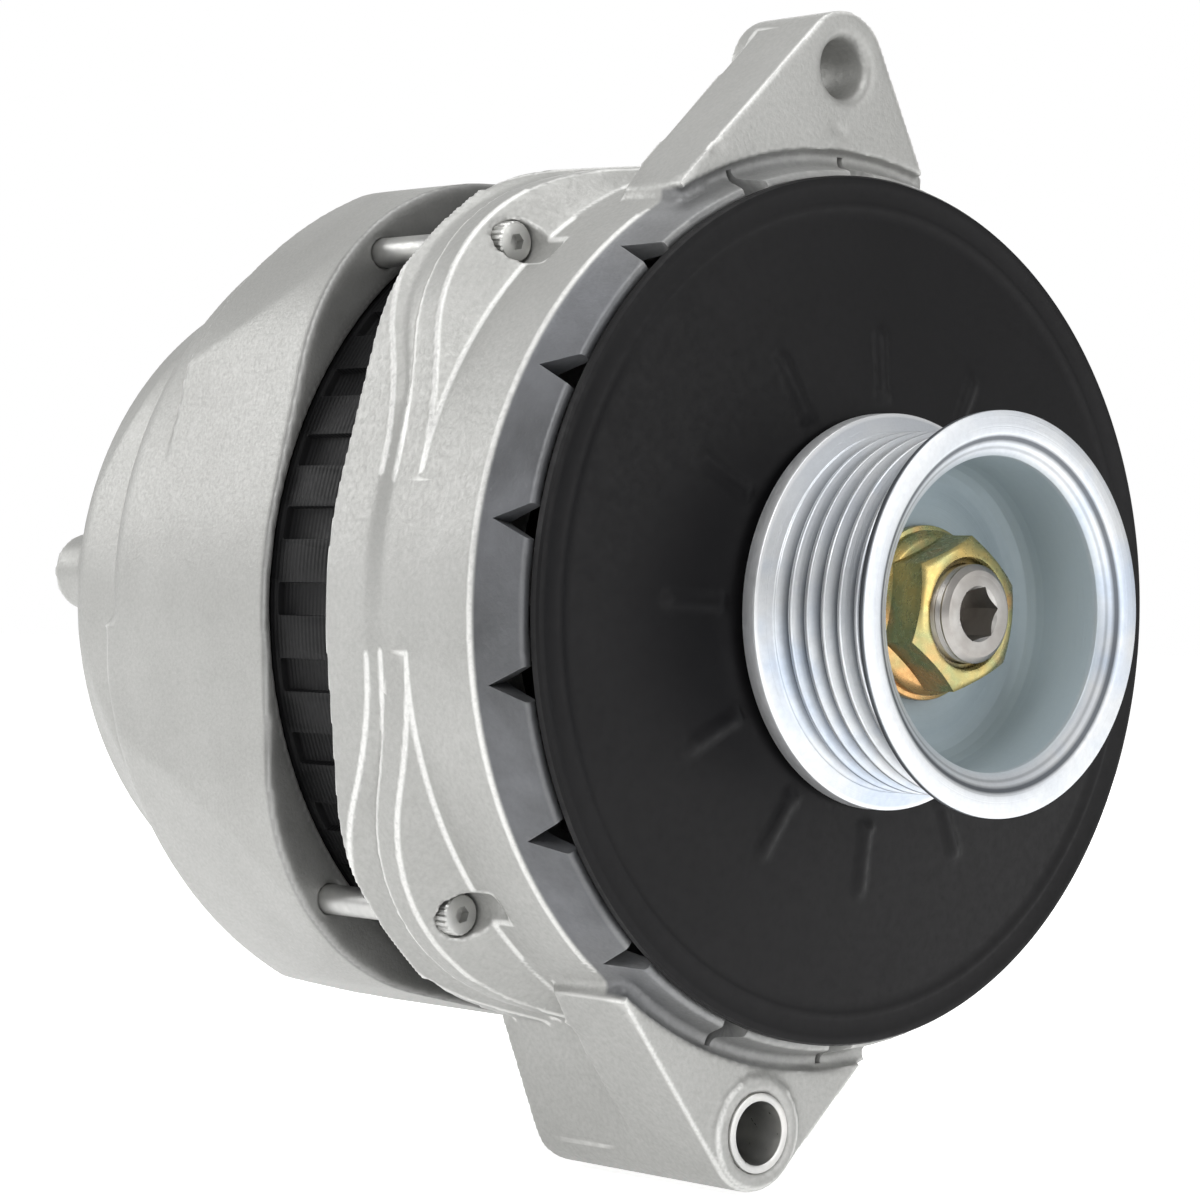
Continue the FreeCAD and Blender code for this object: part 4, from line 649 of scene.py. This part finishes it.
def makeNut(s):
    nut = hexBar("nutFlanged", s["flats"], s["face"], s["hexEnd"] + 0.4, s["turn"])
    widest = s["crown"] + s["crownWide"]
    crown = turned("crownCut", [(0, s["face"]), (s["crown"], s["face"]), (widest, s["face"] + s["crownDeep"]),
                                (widest, s["end"]), (0, s["end"])], 96, 0)
    combine(nut, crown, "INTERSECT")
    skirt = turned("skirt", [(0, s["hexEnd"] - 0.6), (s["skirtTop"], s["hexEnd"] - 0.6), (s["skirtLip"], s["hexEnd"]),
                             (s["flange"], s["hexEnd"] + 0.7), (s["flange"], s["end"]), (0, s["end"])], 96, 0.15)
    combine(nut, skirt, "UNION")
    inner = s["bore"] - 0.02
    threads = [(0, s["face"] - 1), (s["bore"] + 1.1, s["face"] - 1), (s["bore"] + 1.1, s["face"]),
               (s["bore"] + 0.1, s["face"] + 0.9)]
    along = s["face"] + 0.9
    while along < s["end"] - 1.5:
        threads += [(inner, along + 0.35), (s["bore"] + 0.5, along + 0.75), (inner, along + 1.2)]
        along += s["thread"]
    threads += [(inner, s["end"] + 1), (0, s["end"] + 1)]
    combine(nut, turned("boreCut", threads, 96, 0), "DIFFERENCE")
    return smooth(bevelled(nut, s["bevel"]), 35)


dress(makeNut(nutSize), "rotor", finish["chromate"], "yellow_chromate", "pulley_nut")

shaftSize = {"front": -6.2, "thread": 7.95, "core": 7.35, "threadEnd": 4.8, "pitch": 1.25, "socket": 8.0,
             "socketDeep": 7.0, "socketTurn": 12.0, "mouth": 5.0, "steps": [
                 (8.5, 5.3), (8.5, 49.0), (10.0, 49.0), (10.0, 113.8), (8.5, 113.8), (8.5, 138.0), (7.5, 138.0),
                 (7.5, 158.0)]}


def makeShaft(s):
    profile = [(0, s["front"]), (s["core"] - 0.4, s["front"]), (s["thread"], s["front"] + 0.8)]
    along = s["front"] + 1.0
    while along < s["threadEnd"] - 1.3:
        profile += [(s["thread"], along), (s["core"], along + 0.6), (s["thread"], along + 1.2)]
        along += s["pitch"]
    profile += [(s["thread"], s["threadEnd"])] + s["steps"] + [(0, s["steps"][-1][1])]
    shaft = turned("shaftTurned", profile, 96, 0.12)
    socket = hexBar("socketCut", s["socket"], s["front"] - 1, s["front"] + s["socketDeep"], s["socketTurn"])
    combine(shaft, socket, "DIFFERENCE")
    mouth = turned("mouthCut", [(0, s["front"] - 0.5), (s["mouth"], s["front"] - 0.5),
                                (s["mouth"] - 1.1, s["front"] + 0.6), (0, s["front"] + 0.7)], 64, 0)
    combine(shaft, mouth, "DIFFERENCE")
    return smooth(shaft)


dress(makeShaft(shaftSize), "rotor", finish["shaft"], "shaft_steel", "rotor_shaft")
print("pulley, nut and shaft modelled")


# fan

fanSize = {"hubEnd": 16.0, "bore": 8.5, "flat": 30.0, "cone": 67.0, "rim": 71.5, "front": 19.8, "thick": 1.6,
           "ribs": 12, "ribTurn": -1.5, "ribInner": 34.6, "ribOuter": 47.0, "ribWide": 2.6, "ribHigh": 0.6,
           "crease": [(-1.0, -0.32), (-0.5, -0.46)],  # from the cone's end and the front
           "roll": [(-1.6, -0.55), (-0.9, -0.7), (-0.3, -0.55), (0.0, -0.1), (0.0, 1.1), (-0.9, 1.1), (-1.3, 0.5)]}


def makeFanDisc(s):
    wide, high = s["cone"] - s["flat"], s["front"] - s["hubEnd"]
    dish = [(s["flat"] + wide * i / 40, s["hubEnd"] + high * i / 40) for i in range(39)]
    dish += [(s["cone"] + out, s["front"] + back) for out, back in s["crease"]]
    rim = [(s["cone"] + 0.1, s["front"] - 0.36), (s["cone"] + 0.6, s["front"] - 0.3)]
    rim += [(s["rim"] + out, s["front"] + back) for out, back in s["roll"]]
    rim.append((s["cone"], s["front"] + 0.8))
    back = s["hubEnd"] + s["thick"]
    profile = [(s["bore"], s["hubEnd"])] + dish + rim + [(s["flat"], back), (s["bore"], back)]
    disc = turned("fanDiscPressed", profile, 360, 0)
    mesh = edit(disc)
    for vert in mesh.verts:
        angle = math.degrees(math.atan2(vert.co.z, vert.co.x))
        away = (angle - s["ribTurn"] + 180 / s["ribs"]) % (360 / s["ribs"]) - 180 / s["ribs"]
        reach = math.hypot(vert.co.x, vert.co.z) / mm
        sideways = reach * math.sin(math.radians(away))
        within = s["ribInner"] + 0.6 < reach < s["ribOuter"] - 0.6
        vert.select = abs(sideways) < 0.36 * s["ribWide"] and within
    mesh.select_flush_mode()
    bmesh.update_edit_mesh(disc.data)
    bpy.ops.transform.translate(value=(0, -s["ribHigh"] * mm, 0), use_proportional_edit=True,
                                proportional_edit_falloff="SMOOTH", proportional_size=1.5 * mm)
    objectMode()
    return smooth(disc, 40)


dress(makeFanDisc(fanSize), "rotor", finish["fan"], "fan_black", "fan_disc")
dress(softCopy("fan_blades", "fanBladesFolded", 0.3), "rotor", finish["fan"], "fan_black", "fan_blades")
print("fan modelled")


# castings

def highlightEdgePoints(piece, s):
    # points along the outer edges and along the foot of the lug slopes, which get a painted highlight
    mesh = bmesh.new()
    mesh.from_mesh(piece.data)
    points = []
    for line in mesh.edges:
        if len(line.link_faces) != 2 or line.calc_length() < s["shortest"] * mm:
            continue
        near, far = (vert.co.copy() for vert in line.verts)
        middle = (near + far) / 2 / mm
        turn = math.degrees(line.calc_face_angle_signed(0))
        foot = turn < -s["sharp"] and s["foot"][0] < middle.y < s["foot"][1]
        around = math.degrees(math.atan2(middle.z, middle.x)) % 360
        below = middle.z < s["earTop"] and middle.y > s["earBack"]
        web = (middle.y < s["webEnd"] and math.hypot(middle.x, middle.z) < s["webReach"]
               and any(low - 4 < around < high + 4 for low, high in earSize["webs"]))
        bright = (turn > s["sharp"] or foot) and middle.y < s["last"]
        if bright and not below and not web:
            count = max(1, int((far - near).length / (s["spacing"] * mm)))
            points += [near.lerp(far, i / count) for i in range(count + 1)]
    mesh.free()
    return points


def markEdges(piece, points, width):
    # 1 on an edge with a painted highlight, falling to 0 beside it
    tree = KDTree(len(points))
    for i, point in enumerate(points):
        tree.insert(point, i)
    tree.balance()
    marks = piece.data.attributes.new("paintedEdgeHighlight", "FLOAT", "POINT")
    for vert, mark in zip(piece.data.vertices, marks.data):
        mark.value = max(0.0, min(1.0, 1.3 - tree.find(vert.co)[2] / (width * mm)))
    return piece


def castSkin(piece, voxel, passes, faces):
    # as-cast skin: the shape remeshed, its edges rounded by smoothing
    applied(piece, "REMESH", mode="VOXEL", voxel_size=voxel * mm, adaptivity=0.0)
    applied(piece, "SMOOTH", factor=0.5, iterations=passes)
    count = sum(len(p.vertices) - 2 for p in piece.data.polygons)
    if count > faces:
        applied(piece, "DECIMATE", ratio=faces / count)
    pick(piece)
    bpy.ops.object.shade_smooth()
    return piece


earSize = {"webs": [(74.2, 118.8), (233.8, 278.4)],  # degrees round the shaft
           "groove": [(73.4, 27.2), (76.7, 27.2), (76.7, 31.8), (73.4, 31.8)],
           "face": [(76.25, 25.8), (78.9, 25.8), (78.9, 28.5), (76.25, 28.5)], "within": 4.2,
           "roots": (118.8, 233.8), "rootSpan": 4.5, "rootIn": 73.8, "rootOut": 82.0, "rootFrom": 26.5,
           "rootTo": 71.0, "stepHigh": -68.0, "stepIn": 77.2, "stepFrom": 37.0, "stepTo": 52.0, "passes": 14}


def fillEarGroove(piece, s):
    # a thin shadow line stays between each ear and the shroud
    for low, high in s["webs"]:
        for ring, inset in (("groove", 0), ("face", s["within"])):
            sector = turned("earFill", s[ring], 40, 0, sweep=high - low - 2 * inset)
            combine(piece, turnAboutShaft(sector, -low - inset), "UNION")


def blendEarRoots(piece, s):
    # ears flow into the shroud, and the step under the lower ear is eased
    mesh = edit(piece)
    for vert in mesh.verts:
        reach = math.hypot(vert.co.x, vert.co.z) / mm
        angle = math.degrees(math.atan2(vert.co.z, vert.co.x)) % 360
        near = min(abs(angle - root) for root in s["roots"]) < s["rootSpan"]
        along = vert.co.y / mm
        root = near and s["rootIn"] < reach < s["rootOut"] and s["rootFrom"] < along < s["rootTo"]
        step = vert.co.z / mm < s["stepHigh"] and reach > s["stepIn"] and s["stepFrom"] < along < s["stepTo"]
        vert.select = root or step
    mesh.select_flush_mode()
    bmesh.update_edit_mesh(piece.data)
    bpy.ops.mesh.vertices_smooth(factor=0.5, repeat=s["passes"])
    objectMode()


notchSize = {"count": 18, "turn": 9.8, "tip": 28.6, "long": 9.0, "wide": 7.4, "reach": 71.6, "deep": 7.4}


def notchCutter(s):
    # V wedges round the shroud, their tips towards the rear
    wedges = []
    for i in range(s["count"]):
        deselectAll()
        bpy.ops.mesh.primitive_cylinder_add(vertices=3, radius=mm, depth=s["deep"] * mm)
        wedge = bpy.context.object
        wedge.scale = (s["wide"] / math.sqrt(3), s["long"] / 1.5, 1)
        wedge.location = (0, (s["tip"] - s["long"] * 2 / 3) * mm, s["reach"] * mm)
        wedges.append(turnAboutShaft(settle(wedge), 90 - s["turn"] - 360 / s["count"] * i))
    return joinAll(wedges, "notchCutter")


plugSize = {"circle": 77.0, "turn": 40.5, "radius": 2.7, "from": 96.5, "to": 111.8,
            "inner": 70.0, "outFrom": 80.6, "outTo": 78.55}


def plugBoltHoles(piece, s):
    # the rear lugs are closed behind the bolts' ends
    for i in range(4):
        angle = math.radians(s["turn"] + 90 * i)
        plug = turned("boltPlug", [(0, s["from"]), (s["radius"], s["from"]), (s["radius"], s["to"]),
                                   (0, s["to"])], 32, 0)
        shift(plug, s["circle"] * math.cos(angle), s["circle"] * math.sin(angle))
        lug = turned("lugOutline", [(s["inner"], s["from"] - 1), (s["outFrom"], s["from"]),
                                    (s["outTo"], s["to"]), (s["inner"], s["to"] + 1)], 96, 0)
        combine(plug, lug, "INTERSECT")
        combine(piece, plug, "UNION")


edgeSize = {"drive_end_frame": {"sharp": 26, "shortest": 1.3, "spacing": 0.35, "foot": (45.5, 48.0), "last": 200,
                                "earTop": -70, "earBack": 30, "webEnd": 34, "webReach": 80},
            "slip_ring_end_frame": {"sharp": 40, "shortest": 1.3, "spacing": 0.35, "foot": (0, 0), "last": 90,
                                    "earTop": -999, "earBack": 0, "webEnd": 0, "webReach": 0}}
# name, finish, voxel in mm, smoothing passes, most triangles
castings = {"drive_end_frame": ("driveFrameCast", "castFront", 0.65, 2, 186000),
            "slip_ring_end_frame": ("rearFrameCast", "castRear", 0.9, 3, 150000)}
markWidth = 0.65
for node, (name, skin, voxel, passes, faces) in castings.items():
    piece = nodeCopy(node, name)
    edgeWearAndHighlight = highlightEdgePoints(piece, edgeSize[node])
    if node == "drive_end_frame":
        fillEarGroove(piece, earSize)
    else:
        plugBoltHoles(piece, plugSize)
    castSkin(piece, voxel, passes, faces)
    if node == "drive_end_frame":
        blendEarRoots(piece, earSize)
        smooth(combine(piece, notchCutter(notchSize), "DIFFERENCE"), 50)
    markEdges(piece, edgeWearAndHighlight, markWidth)
    dress(piece, "housing", finish[skin], "cast_aluminium", node)
    print(name, len(piece.data.polygons), "faces")


# what shows between and in the castings

sleeveSize = {"bore": 5.2, "edge": 6.6, "front": 24.8, "rear": 69.8, "x": -15.9, "z": -85.4}
sleeve = shift(makeRing("earSleevePressed", sleeveSize, 72, 0.25), sleeveSize["x"], sleeveSize["z"])
dress(sleeve, "housing", finish["sleeve"], "bolt_steel", "lower_ear_sleeve")
dress(softCopy("stator_core", "statorStack", 0.25), "housing", finish["lamination"], "lamination_black",
      "stator_core")

boltSize = {"circle": 77.0, "turn": 40.5, "radius": 2.5, "front": 50.5, "seat": 53.5, "head": 3.4, "drive": 2.5,
            "driveDeep": 1.6, "driveTurn": 12, "thread": 86.0, "pitch": 0.8, "cut": 0.35, "end": 96.2, "knurls": 20,
            "knurlIn": 0.93}


def makeBolt(s, name):
    profile = [(0, s["front"]), (s["head"] - 0.8, s["front"]), (s["head"] - 0.3, s["front"] + 0.15),
               (s["head"], s["front"] + 0.5), (s["head"], s["seat"]), (s["radius"], s["seat"]),
               (s["radius"], s["thread"])]
    along = s["thread"]
    while along < s["end"] - 1.6:
        profile += [(s["radius"] - s["cut"], along + s["pitch"] / 2), (s["radius"], along + s["pitch"])]
        along += s["pitch"]
    profile += [(s["radius"] - 0.5, s["end"]), (0, s["end"])]
    bolt = turned(name, profile, s["knurls"] * 4, 0)
    # straight knurls round the head
    mesh = edit(bolt)
    for vert in mesh.verts:
        turn = math.degrees(math.atan2(vert.co.z, vert.co.x)) * s["knurls"] / 360
        rim = math.hypot(vert.co.x, vert.co.z) > (s["head"] - 0.1) * mm
        vert.select = rim and abs((turn + 0.25) % 1 - 0.25) < 0.2
    mesh.select_flush_mode()
    bmesh.update_edit_mesh(bolt.data)
    bpy.ops.transform.resize(value=(s["knurlIn"], 1, s["knurlIn"]), center_override=(0, s["seat"] * mm, 0))
    objectMode()
    socket = hexBar("driveCut", s["drive"], s["front"] - 1, s["front"] + s["driveDeep"], s["driveTurn"])
    return combine(bolt, socket, "DIFFERENCE")


bolts = []
for i in range(4):
    bolt = makeBolt(boltSize, "boltBlank")
    angle = math.radians(boltSize["turn"] + 90 * i)
    bolts.append(shift(bolt, boltSize["circle"] * math.cos(angle), boltSize["circle"] * math.sin(angle)))
dress(smooth(joinAll(bolts, "throughBoltsTurned")), "housing", finish["steel"], "bolt_steel", "through_bolts")
print("bolts, sleeve and stack modelled")


# output stud, its nut and insulator, plug socket

studSize = {"x": 36.04, "z": -25.24, "head": 6.0, "headFrom": 138.0, "seat": 141.0, "shank": 3.5, "nutEnd": 169.0,
            "thread": 3.0, "cut": 0.42, "pitch": 1.05, "end": 182.0, "flats": 10.0, "face": 164.0,
            "crownWide": 1.2, "bevel": 0.12}


def makeStud(s):
    profile = [(0, s["headFrom"]), (s["head"], s["headFrom"]), (s["head"], s["seat"]), (s["shank"], s["seat"]),
               (s["shank"], s["nutEnd"]), (s["thread"], s["nutEnd"])]
    along = s["nutEnd"] + 0.2
    while along < s["end"] - 1.8:
        profile += [(s["thread"], along), (s["thread"] - s["cut"], along + 0.5), (s["thread"], along + 1.0)]
        along += s["pitch"]
    profile += [(s["thread"], along + 0.1), (s["thread"] - 0.8, s["end"]), (0, s["end"])]
    return shift(turned("studTurned", profile, 48, 0.06, 1), s["x"], s["z"])


def makeStudNut(s):
    nut = hexBar("studNutHex", s["flats"], s["face"], s["nutEnd"], 30)
    narrow = s["flats"] / 2
    widest = narrow + s["crownWide"]
    crown = turned("crownCut", [(0, s["face"]), (narrow, s["face"]), (widest, s["face"] + 0.6),
                                (widest, s["nutEnd"] - 0.6), (narrow, s["nutEnd"]), (0, s["nutEnd"])], 64, 0)
    combine(nut, crown, "INTERSECT")
    inner = s["shank"] + 0.02
    bore = turned("boreCut", [(0, s["face"] - 1), (inner, s["face"] - 1), (inner, s["nutEnd"] - 0.5),
                              (s["shank"] + 0.6, s["nutEnd"] + 0.1), (0, s["nutEnd"] + 0.1)], 64, 0)
    combine(nut, bore, "DIFFERENCE")
    return shift(smooth(bevelled(nut, s["bevel"]), 35), s["x"], s["z"])


dress(makeStud(studSize), "housing", finish["steel"], "bolt_steel", "output_stud")
dress(makeStudNut(studSize), "housing", finish["steel"], "bolt_steel", "output_stud_nut")
moulded = {"terminal_insulator": ("insulatorMoulded", 0.4), "plug_socket": ("plugSocketMoulded", 0.35),
           "voltage_regulator": ("regulatorMoulded", 0.5), "brush_holder": ("brushHolderMoulded", 0.3)}
for node, (name, width) in moulded.items():
    dress(softCopy(node, name, width), "housing", finish["plastic"], "black_plastic", node)
for node, name in (("positive_heat_sink", "positiveSinkPressed"), ("negative_heat_sink", "negativeSinkPressed")):
    dress(softCopy(node, name, 0.3), "housing", finish["sink"], "cast_aluminium", node)
dress(softCopy("stator_windings", "windingsBound", 0.8, 3), "housing", finish["winding"], "enamel_copper",
      "stator_windings")
print("terminal, plug and inner pieces modelled")


# the brush springs, each with a mesh of its own

for side in ("front", "rear"):
    coil = smooth(nodeCopy("brush_spring_" + side, side + "BrushCoil"), 50)
    dress(coil, "housing", finish["spring"], "spring_steel", "brush_spring_" + side)
    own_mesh(coil)


# finishes of the CAD nodes that stay

stays = {
    "fieldWire": ["field_coil"], "iron": ["rotor_pole_front", "rotor_pole_rear"],
    "bearing": ["front_bearing_inner_ring", "front_bearing_outer_ring", "front_bearing_balls",
                "rear_bearing_inner_ring", "rear_bearing_outer_ring", "rear_bearing_balls"],
    "brass": ["front_bearing_cage", "rear_bearing_cage"], "slip": ["slip_rings"],
    "plastic": ["slip_ring_sleeve", "field_bobbin", "heat_sink_spacers"],
    "carbon": ["brush_front", "brush_rear"],
    "steel": ["bearing_retainer", "retainer_screws", "positive_diodes", "negative_diodes",
              "plug_pins", "fan_collar"],
}
for skin, names in stays.items():
    for node in names:
        mesh = nodes[node].data
        if not mesh.materials:
            mesh.materials.append(finish[skin])
        for i in range(len(mesh.materials)):
            mesh.materials[i] = finish[skin]
print("CAD nodes finished")

deselectAll()
